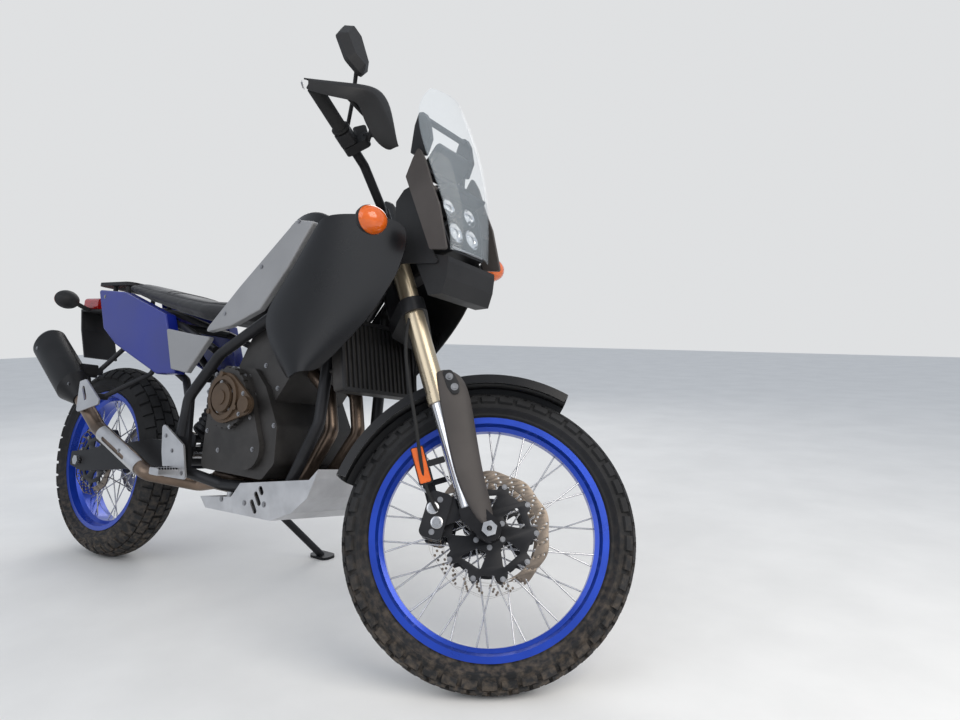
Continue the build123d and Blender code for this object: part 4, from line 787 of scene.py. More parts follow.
def make_tyre(name, sizes, pitches, rows, matrix, body, node, depth):
    """Carcass and blocks of one tyre."""
    radius, width, crown, bead, seat = sizes
    middle = radius - crown
    carcass = lathe(name + "_carcass", tyre_profile(radius, width, crown, bead, seat, depth), 120)
    pitch = tau / pitches
    blocks = []
    for low, high, start, end in rows:
        blocks.append(tread_block(low, high, start * pitch, end * pitch, crown, middle, depth))
    cells = joined(name + "_cells", *blocks)
    tread = grown(cells, TREES["ring"], Count=pitches, Finish=FINISH["tyre"])
    whole = joined(name, carcass, tread)
    outwards(whole)
    return piece(whole, matrix, body, "tyre", replaces=(node,), smooth=28.0)


class MOTO_OT_tyres(bpy.types.Operator):
    """Block tread tyres on both wheels"""
    bl_idname = "moto.tyres"
    bl_label = "Tyres"

    def execute(self, context):
        settings = context.scene.moto_tyres
        rear_rows = [
            # across from, across to, round from, round to
            (-0.17, 0.17, 0.06, 0.84), (0.24, 0.56, 0.50, 1.36), (-0.56, -0.24, 0.50, 1.36),
            (0.63, 1.06, 0.04, 0.80), (-1.06, -0.63, 0.04, 0.80),
        ]
        front_rows = [
            (-0.20, 0.20, 0.06, 0.80), (0.30, 0.66, 0.50, 1.30), (-0.66, -0.30, 0.50, 1.30),
            (0.76, 1.14, 0.04, 0.78), (-1.14, -0.76, 0.04, 0.78),
        ]
        make_tyre("tyre_front", FRONT_TYRE, settings.front_pitches, front_rows,
                  FRONT_WHEEL, "front_wheel", "front_tyre", settings.depth)
        make_tyre("tyre_rear", REAR_TYRE, settings.rear_pitches, rear_rows,
                  REAR_WHEEL, "rear_wheel", "rear_tyre", settings.depth)
        return {"FINISHED"}


class MOTO_OT_finishes(bpy.types.Operator):
    """Materials of every piece of the model"""
    bl_idname = "moto.finishes"
    bl_label = "Finishes"

    def execute(self, context):
        FINISH.update(make_finishes(context.scene.moto_paint))
        TREES.update(ring=ring_tree(), bolts=bolt_tree(), row=row_tree())
        slots = {sub["node"]: sub["material_slot"] for sub in frame["record"]["subparts"]}
        for name, node in frame["nodes"].items():
            node.data.materials.clear()
            node.data.materials.append(FINISH[NODE_FINISH.get(name, slots[name])])
        return {"FINISHED"}


# Bodywork

def both_sides(maker):
    """Meshes of a piece for the right side and its mirror for the left."""
    return [maker(-1), maker(1)]


def solid_of(mesh, wall, side=1, levels=1):
    """Open surface made smooth and given a wall."""
    work = bmesh.new()
    work.from_mesh(mesh)
    bmesh.ops.remove_doubles(work, verts=work.verts, dist=0.01)
    bmesh.ops.recalc_face_normals(work, faces=work.faces)
    across = sum((face.normal.y * face.calc_area() for face in work.faces), 0.0)
    if across * side < 0:
        bmesh.ops.reverse_faces(work, faces=work.faces)
    work.to_mesh(mesh)
    work.free()
    holder = bpy.data.objects.new(mesh.name, mesh)
    bpy.context.scene.collection.objects.link(holder)
    if levels:
        smooth = holder.modifiers.new("smooth", "SUBSURF")
        smooth.levels = smooth.render_levels = levels
    solid = holder.modifiers.new("wall", "SOLIDIFY")
    solid.thickness = wall
    solid.offset = -1.0
    graph = bpy.context.evaluated_depsgraph_get()
    made = bpy.data.meshes.new_from_object(holder.evaluated_get(graph))
    bpy.data.objects.remove(holder)
    return made


def shell(name, rows, wall, side):
    """Moulded shell: a smooth surface through rows of (x, y, z) points, with a wall."""
    mesh = solid_of(panel(name, [[(x, side * -y, z) for x, y, z in line] for line in rows]), wall, side,
                    levels=2)
    mesh.name = name
    return mesh


class MOTO_OT_shrouds(bpy.types.Operator):
    """Smooth black shrouds from the tank's flank to the duct behind the fork"""
    bl_idname = "moto.shrouds"
    bl_label = "Shrouds"

    def execute(self, context):
        # Outline lines from the rear edge to the front edge, side view in millimetres
        rear = [(1120, 1072), (1064, 982), (1008, 908), (958, 842), (962, 794), (1006, 731), (1076, 664)]
        inner = [(1150, 1086), (1110, 994), (1062, 908), (1012, 836), (1010, 794), (1044, 734), (1092, 668)]
        body = [(1236, 1086), (1212, 1000), (1176, 908), (1136, 832), (1116, 786), (1112, 736), (1122, 684)]
        front = [(1330, 1076), (1326, 1006), (1296, 914), (1250, 836), (1208, 782), (1174, 732), (1146, 690)]
        edge = [(1384, 1058), (1396, 1000), (1366, 914), (1312, 838), (1256, 778), (1204, 728), (1162, 694)]
        widths = ((rear, 188.0, 186.0), (inner, 196.0, 200.0), (body, 190.0, 203.0), (front, 170.0, 194.0),
                  (edge, 146.0, 176.0))

        def maker(side):
            lines = []
            for outline, top, low in widths:
                lines.append([(x, top + (low - top) * k / 6, z) for k, (x, z) in enumerate(outline)])
            return shell("shroud_" + ("left" if side > 0 else "right"), lines, 4.0, side)

        for mesh in both_sides(maker):
            piece(mesh, CHASSIS, "chassis", "gloss_black", replaces=("shrouds",), smooth=40.0)
        return {"FINISHED"}


class MOTO_OT_fork(bpy.types.Operator):
    """Fork guards that wrap the sliders, each with a raised pad and its bolts"""
    bl_idname = "moto.fork"
    bl_label = "Fork guards"

    def execute(self, context):
        stations = [
            # along, rear x, crease x, front x
            (744, 50, 64, 84), (728, 46, 62, 104), (690, 38, 60, 112), (640, 34, 58, 108), (555, 28, 54, 96),
            (500, 26, 50, 90), (462, 28, 48, 87), (420, 34, 48, 87), (384, 44, 52, 84), (368, 56, 62, 72),
        ]
        for side in (-1, 1):
            lines = []
            for along, back, crease, ahead in stations:
                outer = 132.5 if 390 < along < 735 else 129.0
                lines.append([(x, side * y, along) for x, y in (
                    (back - 2, 118.0), (back, outer - 4), (back + 4, outer), (crease, outer + 1.0),
                    (ahead - 12, outer - 6), (ahead - 2, outer - 20), (ahead, 104.0), (ahead - 4, 84.0))])
            mesh = panel("guard", lines)
            holder = solid_of(mesh, 4.0, side)
            holder.name = "fork_guard_" + ("left" if side > 0 else "right")
            piece(holder, FORK, "steering", "guard_grey", replaces=("fork_guards",), smooth=32.0)
            pad = plate("guard_pad",
                        eased([(62, 742), (84, 738), (92, 700), (86, 676), (70, 676), (62, 700)], 8),
                        [], 0.0, 3.0)
            turn = Matrix.Translation((0, side * 131.5 if side > 0 else -134.5, 0))
            pad.transform(turn)
            piece(pad, FORK, "steering", "black_plastic", smooth=30.0)
            bolts("guard_bolts", [(74, side * 134.0, 722, 0, side, 0), (79, side * 134.0, 694, 0, side, 0)],
                  FORK,
                  "steering", head=6.0, height=3.4)
        return {"FINISHED"}


# Brakes

def wave(radius, depth, count, steps=160):
    """Outline of a wavy disc."""
    points = []
    for k in range(steps):
        reach = radius - depth * (0.5 - 0.5 * cos(count * tau * k / steps))
        points.append((reach * cos(tau * k / steps), reach * sin(tau * k / steps)))
    return points


def drilled(radius, inner, count):
    """Holes of a brake disc, in slanted rows of three."""
    holes = []
    for k in range(count):
        for step in range(3):
            angle = tau * (k + step * 0.22) / count
            place = inner + 5.5 + (radius - inner - 13.0) * step / 2
            holes.append(circle(place * cos(angle), place * sin(angle), 2.6, 10))
    return holes


def make_disc(name, radius, y, wheel, body, side, node, spider_slot):
    """Drilled ring, its dark spider with open windows and the buttons between them."""
    inner = radius - 29.0
    ring = plate(name + "_ring", wave(radius, 5.0, 10),
                 [circle(0, 0, inner, 96)] + drilled(radius, inner, 24),
                 y - 2.2, y + 2.2, 0.4)
    piece(ring, wheel, body, "disc_steel", replaces=(node,), smooth=30.0)
    arms = []
    steps = 120
    for k in range(steps):
        swing = (k * 10 / steps) % 1.0
        reach = inner - 2.0 if 0.30 < swing < 0.70 else inner - 15.0
        arms.append((reach * cos(tau * k / steps), reach * sin(tau * k / steps)))
    windows = []
    for k in range(5):
        a = tau * k / 5
        windows.append(eased([(46 * cos(a), 46 * sin(a)),
                              ((inner - 26) * cos(a - 0.22), (inner - 26) * sin(a - 0.22)),
                              ((inner - 26) * cos(a + 0.42), (inner - 26) * sin(a + 0.42)),
                              (46 * cos(a + 0.55), 46 * sin(a + 0.55))], 6))
    spider = plate(name + "_spider", eased(arms, 1.5, 1), [circle(0, 0, 24.5, 40)] + windows, y - 2.0,
                   y + 2.0, 0.5)
    piece(spider, wheel, body, spider_slot, replaces=(node,), smooth=30.0)
    places = []
    for k in range(10):
        a = tau * (k + 0.5) / 10
        places.append(((inner - 3.5) * cos(a), y + side * 2.0, (inner - 3.5) * sin(a), 0, side, 0))
    for k in range(6):
        a = tau * (k + 0.25) / 6
        places.append((35 * cos(a), y + side * 2.0, 35 * sin(a), 0, side, 0))
    bolts(name + "_buttons", places, wheel, body, head=4.2, height=2.6)


class MOTO_OT_brakes(bpy.types.Operator):
    """Drilled wavy discs on their dark spiders, with the buttons between them"""
    bl_idname = "moto.brakes"
    bl_label = "Brakes"

    def execute(self, context):
        make_disc("front_disc_right", FRONT_DISC_RADIUS, -FRONT_DISC_Y, FRONT_WHEEL, "front_wheel", -1,
                  "front_discs", "black_metal")
        make_disc("front_disc_left", FRONT_DISC_RADIUS, FRONT_DISC_Y, FRONT_WHEEL, "front_wheel", 1,
                  "front_discs", "black_metal")
        make_disc("rear_disc_ring", REAR_DISC_RADIUS, -REAR_DISC_Y, REAR_WHEEL, "rear_wheel", -1,
                  "rear_disc", "black_metal")
        return {"FINISHED"}


# Lamps

LAMP = Matrix(((0.0, -0.34014, 0.94037, 1436.0), (1.0, 0.0, 0.0, 0.0), (0.0, 0.94037, 0.34014, 1090.0),
               (0.0, 0.0, 0.0, 1.0)))
LAMP_UNITS = (
    # across, height, radius
    (-44.0, 40.0, 24.0), (44.0, 40.0, 24.0), (-34.0, -26.0, 26.0), (34.0, -26.0, 26.0),
)


class MOTO_OT_lamps(bpy.types.Operator):
    """Four lamp units with bezels and lenses, a brow, a toothed strip and the indicators"""
    bl_idname = "moto.lamps"
    bl_label = "Lamps"

    def execute(self, context):
        out = (LAMP.to_3x3() @ Vector((0, 0, 1))).normalized()
        for k, (across, height, radius) in enumerate(LAMP_UNITS):
            centre = LAMP @ Vector((across, height, -10.0))
            bowl = [(radius * 0.30, 0.0), (radius * 0.62, 1.0), (radius * 0.86, 5.0), (radius * 0.98, 11.0),
                    (radius, 11.0), (radius, 0.0)]
            piece(turned("lamp_bowl_%d" % k, bowl, centre, out), CHASSIS, "chassis", "lamp_glass",
                  "lamp_chrome")
            lens = [(0.0, 1.0), (radius * 0.55, 1.0), (radius * 0.55, 5.0), (radius * 0.50, 9.0),
                    (radius * 0.36, 12.0), (radius * 0.18, 13.6), (0.0, 14.0)]
            piece(turned("lamp_lens_%d" % k, lens, centre, out), CHASSIS, "chassis", "lamp_glass",
                  "lamp_lens")
            trim = [(radius * 1.0, -2.0), (radius * 1.10, -2.0), (radius * 1.10, 8.0), (radius * 1.02, 11.0),
                    (radius * 1.0, 11.0)]
            piece(turned("lamp_bezel_%d" % k, trim, centre, out), CHASSIS, "chassis", "lamp_glass",
                  "lamp_housing")
        teeth = [LAMP @ Vector((-62 + 4 * k, -72.0, 1.0)) for k in range(32)]
        strip = row("lamp_teeth", teeth, 4.0, (2.2, 3.0, 5.0))
        piece(strip, CHASSIS, "chassis", "shield_silver")
        lip = [LAMP @ Vector(p) for p in ((-80, 84, 2), (-40, 90, 12), (0, 92, 15), (40, 90, 12),
                                          (80, 84, 2))]
        piece(pipe("lamp_lip", lip, 2.4), CHASSIS, "chassis", "shield_silver")
        self.indicators()
        return {"FINISHED"}

    def indicators(self):
        """Egg shaped amber lenses in black bases on short stems."""
        for place, ahead in (((1366, 252, 1042), 1), ((-222, 150, 892), -1)):
            for side in (-1, 1):
                centre = Vector((place[0], side * place[1], place[2]))
                lens = [(33.0, 0.0), (33.0, 3.0), (31.0, 10.0), (27.0, 18.0), (20.0, 25.5), (11.0, 30.6),
                        (0.0, 32.6)]
                lens = [(0.0, 0.0)] + lens
                amber = turned("indicator_lens", lens, centre, (ahead, 0, 0), 40, stretch=(43.0 / 33.0, 1.0))
                piece(amber, CHASSIS, "chassis", "amber", replaces=("indicators",), smooth=40.0)
                base = [(0.0, 0.3), (33.6, 0.3), (33.6, -4.0), (30.0, -14.0), (22.0, -24.0), (11.0, -30.0),
                        (0.0, -32.0)]
                cup = turned("indicator_base", base, centre, (ahead, 0, 0), 40, stretch=(43.0 / 33.0, 1.0))
                piece(cup, CHASSIS, "chassis", "black_plastic", replaces=("indicators",), smooth=40.0)
                if place[0] > 0:
                    foot = Vector((1366, side * 206.5, 1042))
                else:
                    foot = Vector((-222, side * 65.5, 868))
                stem = pipe("indicator_stem",
                            [foot, (foot + centre) / 2, centre - Vector((0, side * 20, 0))], 8.0)
                piece(stem, CHASSIS, "chassis", "rubber", replaces=("indicators",), smooth=40.0)


# Seat and hand guards

SEAT_SECTIONS = (
    # x, bottom z, middle z, top z, half widths at those heights
    (112.0, 932.0, 944.0, 956.0, 92.0, 112.0, 96.0),
    (220.0, 902.0, 921.0, 938.0, 94.0, 115.0, 98.0),
    (330.0, 878.0, 899.0, 920.0, 96.0, 118.0, 100.0),
    (440.0, 856.0, 880.0, 900.0, 94.0, 120.0, 98.0),
    (548.0, 838.0, 864.0, 886.0, 92.0, 120.0, 96.0),
    (640.0, 838.0, 862.0, 884.0, 84.0, 110.0, 86.0),
    (700.0, 844.0, 866.0, 890.0, 76.0, 99.0, 76.0),
    (738.0, 872.0, 888.0, 908.0, 56.0, 78.0, 52.0),
)


def seat_section(x, low, middle, high, low_half, middle_half, high_half):
    """Closed ring of points round the seat at one station."""
    right = [(0.0, low), (low_half * 0.6, low), (low_half, low + 2), (middle_half - 3, (low + middle) / 2),
             (middle_half, middle), (middle_half - 5, (middle + high) / 2), (high_half, high - 3),
             (high_half * 0.6, high + 2), (high_half * 0.25, high + 3), (0.0, high + 3)]
    ring = [(x, -y, z) for y, z in right] + [(x, y, z) for y, z in reversed(right[1:-1])]
    return ring


def padded_mesh(mesh, voxel, pressure, most):
    """Body of even facets that pressure swells a little, as foam fills a cover."""
    scene = bpy.context.scene
    holder = bpy.data.objects.new(mesh.name, mesh)
    scene.collection.objects.link(holder)
    remesh = holder.modifiers.new("even", "REMESH")
    remesh.mode = "VOXEL"
    remesh.voxel_size = voxel
    even = bpy.data.meshes.new_from_object(holder.evaluated_get(bpy.context.evaluated_depsgraph_get()))
    bpy.data.objects.remove(holder)
    soft = bpy.data.objects.new(mesh.name, even)
    scene.collection.objects.link(soft)
    cloth = soft.modifiers.new("foam", "CLOTH")
    cloth.settings.quality = 5
    cloth.settings.mass = 0.3
    cloth.settings.use_pressure = True
    cloth.settings.uniform_pressure_force = pressure
    cloth.settings.effector_weights.gravity = 0.0
    cloth.point_cache.frame_start = 1
    cloth.point_cache.frame_end = 20
    for step in range(1, 21):
        scene.frame_set(step)
    swollen = soft.evaluated_get(bpy.context.evaluated_depsgraph_get()).to_mesh()
    places = []
    for before, after in zip(even.vertices, swollen.vertices):
        shift = after.co - before.co
        if shift.length > most:
            shift = shift * (most / shift.length)
        places.append(before.co + shift)
    soft.evaluated_get(bpy.context.evaluated_depsgraph_get()).to_mesh_clear()
    soft.modifiers.remove(cloth)
    scene.frame_set(1)
    for vertex, place in zip(even.vertices, places):
        vertex.co = place
    finer = soft.modifiers.new("finer", "SUBSURF")
    finer.levels = finer.render_levels = 1
    made = bpy.data.meshes.new_from_object(soft.evaluated_get(bpy.context.evaluated_depsgraph_get()))
    bpy.data.objects.remove(soft)
    return made


def on_surface(mesh, points, lift=0.0):
    """Nearest places of the points on a mesh, lifted along its normal."""
    work = bmesh.new()
    work.from_mesh(mesh)
    tree = BVHTree.FromBMesh(work)
    found = []
    for point in points:
        place, normal, _, _ = tree.find_nearest(point)
        found.append(place + normal * lift)
    work.free()
    return found


class MOTO_OT_seat(bpy.types.Operator):
    """Two-part seat cushion with welts and stitched cross seams"""
    bl_idname = "moto.seat"
    bl_label = "Seat"

    def execute(self, context):
        rings = [seat_section(*row) for row in SEAT_SECTIONS]
        count = len(rings[0])
        points = [p for ring in rings for p in ring]
        faces = []
        for i in range(len(rings) - 1):
            for j in range(count):
                k, after = i * count + j, i * count + (j + 1) % count
                faces.append((k, after, after + count, k + count))
        faces += [tuple(range(count)), tuple(range(len(points) - count, len(points)))]
        rough = outwards(mesh_from("seat_cushion", points, faces))
        rough.transform(CHASSIS)
        mesh = padded_mesh(rough, 0.006, 4.0, 0.007)
        mesh.name = "seat_cushion"
        seams = []
        for side in (-1, 1):
            seams.append([(x, side * (high_half + 1), high - 2) for x, _, _, high, _, _,
                          high_half in SEAT_SECTIONS])
        for x, high in ((322.0, 924.0), (352.0, 917.0)):
            seams.append([(x + 8 * (y / 104.0) ** 2, y, high) for y in range(-104, 105, 16)])
        welts, threads = [], []
        for line in seams:
            fine = as_points(line, 10.0)
            placed = on_surface(mesh, [CHASSIS @ Vector(p) for p in fine])
            welts.append(tube_along("seat_welt", placed, 0.0017))
            placed = on_surface(mesh,
                                [CHASSIS @ (Vector(p) + Vector((5.0, 0,
                                                                0)) if abs(line[0][0] - line[-1][0]) < 60
                                                  else Vector(p) + Vector((0, -6.0 if p[1] > 0 else 6.0, 0)))
                                       for p in fine], 0.0004)
            threads.append(row("seat_thread", placed, 0.006, (0.0036, 0.0008, 0.0006)))
        cushion = piece(mesh, Matrix.Identity(4), "chassis", "seat_cover", replaces=("seat",), smooth=0)
        cushion.data.polygons.foreach_set("use_smooth", [True] * len(cushion.data.polygons))
        piece(joined("seat_welts", *welts), Matrix.Identity(4), "chassis", "seat_cover", smooth=60.0)
        piece(joined("seat_threads", *threads), Matrix.Identity(4), "chassis", "seat_cover", "seat_thread",
              smooth=0)
        return {"FINISHED"}


def as_points(line, step):
    """Points along a polyline, a step apart."""
    out = [Vector(line[0])]
    for a, b in zip(line, line[1:]):
        a, b = Vector(a), Vector(b)
        count = max(1, round((b - a).length / step))
        out += [a.lerp(b, k / count) for k in range(1, count + 1)]
    return out


def tube_along(name, points, radius):
    """Thin round welt through points that lie on a surface."""
    curve = bpy.data.curves.new(name, "CURVE")
    curve.dimensions = "3D"
    curve.bevel_depth = radius
    curve.bevel_resolution = 1
    curve.use_fill_caps = True
    spline = curve.splines.new("POLY")
    spline.points.add(len(points) - 1)
    for k, place in enumerate(points):
        spline.points[k].co = (*place, 1.0)
    return as_mesh(curve)


GUARD_TOP = [(-66, -446, 1396), (31, -432, 1366), (80, -405, 1369), (107, -365, 1378), (119, -320, 1369),
             (115, -285, 1330), (108, -255, 1297)]
GUARD_LOW = [(-66, -446, 1362), (10, -432, 1325), (46, -405, 1331), (46, -375, 1313), (53, -340, 1295),
             (66, -300, 1281), (87, -270, 1282)]


class MOTO_OT_hand_guards(bpy.types.Operator):
    """Creased shells round the levers, closed at the bar ends"""
    bl_idname = "moto.hand_guards"
    bl_label = "Hand guards"

    def execute(self, context):
        carrier = node_tree("handlebar", "bar_controls")
        for side in (-1, 1):
            lines = []
            for top, low in zip(GUARD_TOP, GUARD_LOW):
                top, low = Vector(top), Vector(low)
                line = []
                for share, ahead in ((0.0, -6.0), (0.12, 1.0), (0.30, 7.0), (0.44, 10.0), (0.50, 12.0),
                                     (0.70, 7.0),
                                     (0.90, 1.0), (1.0, -7.0)):
                    p = top.lerp(low, share) + Vector((ahead * 0.9, -ahead * 0.35, 0.0))
                    line.append((p.x, -side * p.y, p.z))
                lines.append(line)
            shell_mesh = solid_of(panel("hand_guard", lines), 3.6, side, levels=2)
            shell_mesh.name = "hand_guard_" + ("left" if side > 0 else "right")
            piece(shell_mesh, FORK, "steering", "black_plastic", replaces=("hand_guards",), smooth=40.0)
            arm = pipe("guard_arm",
                       [(-60, side * 444, 1376), (-20, side * 440, 1368), (20, side * 428, 1350)], 5.0)
            piece(arm, FORK, "steering", "black_metal", smooth=50.0)
            start = Vector((94, side * 290, 1308))
            end = FORK.inverted() @ carrier.find_nearest(FORK @ Vector((30, side * 292, 1340)))[0]
            stay = pipe("guard_stay", [start, start.lerp(end, 0.5) + Vector((0, 0, -5)), end], 5.5)
            piece(stay, FORK, "steering", "black_metal", smooth=50.0)
            bolts("hand_guard_bolts", [(-72, side * 440, 1379, -1, 0, 0)], FORK, "steering", head=7.0,
                  height=4.0)
        return {"FINISHED"}


# Fasteners and small fittings, each set on the surface of the node that carries it

def node_tree(*names):
    """Search tree of the CAD nodes' surfaces, in metres at rest."""
    work = bmesh.new()
    for name in names:
        work.from_mesh(bpy.data.objects[name].data)
    tree = BVHTree.FromBMesh(work)
    work.free()
    return tree


def set_on_side(tree, places, side, sink=0.4):
    """Places with the side's own axis where a line from that side meets the surface."""
    across = (CHASSIS.to_3x3() @ Vector((0, 1, 0))).normalized()
    found = []
    for x, z in places:
        start = CHASSIS @ Vector((x, side * 480.0, z))
        hit, _, _, _ = tree.ray_cast(start, across * -side)
        if hit is not None:
            y = (CHASSIS.inverted() @ hit).y
            found.append((x, y - side * sink, z, 0, side, 0))
    return found


def ring(x, z, radius, count, turn=0.0):
    """Centres of a ring of bolts in side view."""
    return [(x + radius * cos(turn + tau * k / count),
             z + radius * sin(turn + tau * k / count)) for k in range(count)]


SIDE_BOLTS = (
    # node, bolt centres (x, z), head radius, height
    (("engine_covers", "clutch_cap"), ring(808, 600, 84, 9, 0.2) + ring(808, 600, 42, 5, 0.5), 4.2, 3.6),
    (("engine_covers",), ring(905, 588, 34, 5, 0.9), 4.0, 3.4),
    (("engine", "engine_covers"),
     [(700, 660), (735, 712), (900, 700), (960, 640), (985, 540), (930, 470), (700, 500),
                                   (760, 450), (840, 440)], 4.6, 4.0),
    (("skid_plate",), [(800, 318), (980, 330), (900, 322)], 5.5, 3.0),
    (("footrests",), [(560, 470), (600, 430), (660, 372), (585, 372)], 4.6, 3.0),
    (("side_covers", "tail_panels"), [(470, 812), (20, 902)], 4.6, 2.6),
    (("tank_panels", "fuel_tank"), [(1035, 1082), (905, 965), (770, 835)], 4.6, 2.4),
    (("fairing_struts",), [(1352, 1118), (1398, 1010)], 4.6, 2.6),
    (("heat_shields",), [(250, 470), (380, 405)], 4.4, 2.6),
    (("muffler",), [(60, 590), (-150, 700)], 4.0, 2.4),
)


class MOTO_OT_fasteners(bpy.types.Operator):
    """Bolts of both sides, reflectors, mirror glass, caliper pistons, brake hoses and the heel plates' teeth"""
    bl_idname = "moto.fasteners"
    bl_label = "Fasteners"

    def execute(self, context):
        for names, centres, head, height in SIDE_BOLTS:
            tree = node_tree(*names)
            for side in (-1, 1):
                places = set_on_side(tree, centres, side)
                if places:
                    bolts("bolts_" + names[0] + ("_left" if side > 0 else "_right"), places, CHASSIS,
                          "chassis",
                          head=head, height=height)
        self.reflectors()
        self.mirror_glass()
        self.pistons()
        self.hoses()
        self.teeth()
        return {"FINISHED"}

    def reflectors(self):
        """Amber block in a black frame on an arm beside each fork leg."""
        for side in (-1, 1):
            lens = rounded_block("reflector_lens", (-44, side * 125.0, 538), (26, 4.4, 84), 2.4)
            piece(lens, FORK, "steering", "amber", replaces=("reflectors",), smooth=30.0)
            back = rounded_block("reflector_back", (-44, side * 120.5, 538), (31, 5.0, 90), 2.4)
            piece(back, FORK, "steering", "black_plastic", replaces=("reflectors",), smooth=30.0)
            arm = rounded_block("reflector_arm", (-12, side * 117.5, 538), (46, 3.4, 15), 1.5)
            piece(arm, FORK, "steering", "black_metal", replaces=("reflectors",), smooth=30.0)

    def mirror_glass(self):
        """Glass a little inside the rear face of each mirror head."""
        turn = FORK.to_3x3().inverted()
        mesh = bpy.data.objects["mirrors"].data
        for side in (-1, 1):
            rings = []
            for face in mesh.polygons:
                place = FORK.inverted() @ face.center
                facing = (turn @ face.normal).normalized()
                if place.y * side > 0 and facing.x < -0.93:
                    rings.append([FORK.inverted() @ mesh.vertices[k].co for k in face.vertices])
            if not rings:
                continue
            every = [p for face in rings for p in face]
            middle = sum(every, Vector()) / len(every)
            most = min(p.x for p in every)
            points = [middle + (p - middle) * 0.90 for p in every]
            points = [Vector((most - 0.8 if p.x < most + 6 else p.x - 0.8, p.y, p.z)) for p in points]
            faces, k = [], 0
            for face in rings:
                faces.append(tuple(range(k, k + len(face))))
                k += len(face)
            glass_mesh = mesh_from("mirror_glass_" + ("left" if side > 0 else "right"), points, faces)
            piece(glass_mesh, FORK, "steering", "black_plastic",
                  "mirror_face", smooth=0)

    def pistons(self):
        """Round piston caps and bolts on the outside of the front calipers."""
        mesh = bpy.data.objects["front_calipers"].data
        tree = node_tree("front_calipers")
        across = (FORK.to_3x3() @ Vector((0, 1, 0))).normalized()
        back = FORK.inverted()
        for side in (-1, 1):
            near = [p for p in (back @ v.co for v in mesh.vertices) if p.y * side > 0]
            low_x, high_x = min(p.x for p in near), max(p.x for p in near)
            low_z, high_z = min(p.z for p in near), max(p.z for p in near)
            cx, cz = (low_x + high_x) / 2, (low_z + high_z) / 2
            for dx, dz, radius in ((-5, 17, 15.0), (-5, -17, 15.0)):
                hit, _, _, _ = tree.ray_cast(FORK @ Vector((cx + dx, side * 400, cz + dz)), across * -side)
                if hit is None:
                    continue
                at = back @ hit
                cap = [(0.0, 4.2), (radius * 0.45, 4.2), (radius * 0.5, 3.2), (radius * 0.86, 3.2),
                       (radius * 0.95, 2.4), (radius, 0.8), (radius, -1.5), (0.0, -1.5)]
                piece(turned("caliper_piston", cap, at, (0, side, 0)), FORK, "steering", "spoke_steel",
                      "axle_steel", smooth=35.0)
            corners = []
            for dx, dz in ((16, 30), (16, -30), (-22, 34), (-22, -34)):
                hit, _, _, _ = tree.ray_cast(FORK @ Vector((cx + dx, side * 400, cz + dz)), across * -side)
                if hit is not None:
                    at = back @ hit
                    corners.append((at.x, at.y, at.z, 0, side, 0))
            if corners:
                bolts("caliper_bolts", corners, FORK, "steering", head=4.4, height=3.6)

    def hoses(self):
        """Brake hose down each fork leg."""
        for side in (-1, 1):
            line = [(20, side * 118, 900), (-6, side * 128, 840), (-22, side * 132, 740),
                    (-30, side * 134, 640),
                    (-44, side * 128, 540), (-48, side * 116, 470), (-36, side * 108, 430)]
            piece(pipe("brake_hose", line, 4.2), FORK, "steering", "rubber", smooth=60.0)

    def teeth(self):
        """Rows of teeth along the edges of the footrests."""
        for side in (-1, 1):
            for x in (597.5, 638.5):
                line = [(x, side * (182 + 4 * k), 382.4) for k in range(14)]
                mesh = row("rest_teeth", line, 8.0, (4.0, 5.0, 5.0))
                piece(mesh, CHASSIS, "chassis", "black_metal", "black_metal", smooth=0)


def rounded_block(name, centre, size, edge):
    """Block with softened edges."""
    x, y, z = (s / 2 for s in size)
    points = [(i, j, k) for i in (-x, x) for j in (-y, y) for k in (-z, z)]
    faces = [(0, 1, 3, 2), (4, 6, 7, 5), (0, 4, 5, 1), (2, 3, 7, 6), (0, 2, 6, 4), (1, 5, 7, 3)]
    mesh = outwards(mesh_from(name, points, faces))
    work = bmesh.new()
    work.from_mesh(mesh)
    bmesh.ops.bevel(work, geom=work.edges[:], offset=min(edge, min(x, y, z) * 0.8), segments=3,
                    affect="EDGES")
    bmesh.ops.translate(work, verts=work.verts, vec=centre)
    work.to_mesh(mesh)
    work.free()
    return mesh


# Stage

CAMERA_PLACE = chassis_origin + Vector((2.526325, -1.283015, 0.848009))
CAMERA_YAW = 2.179193
CAMERA_DIP = 0.065685
CAMERA_ROLL = -0.005893


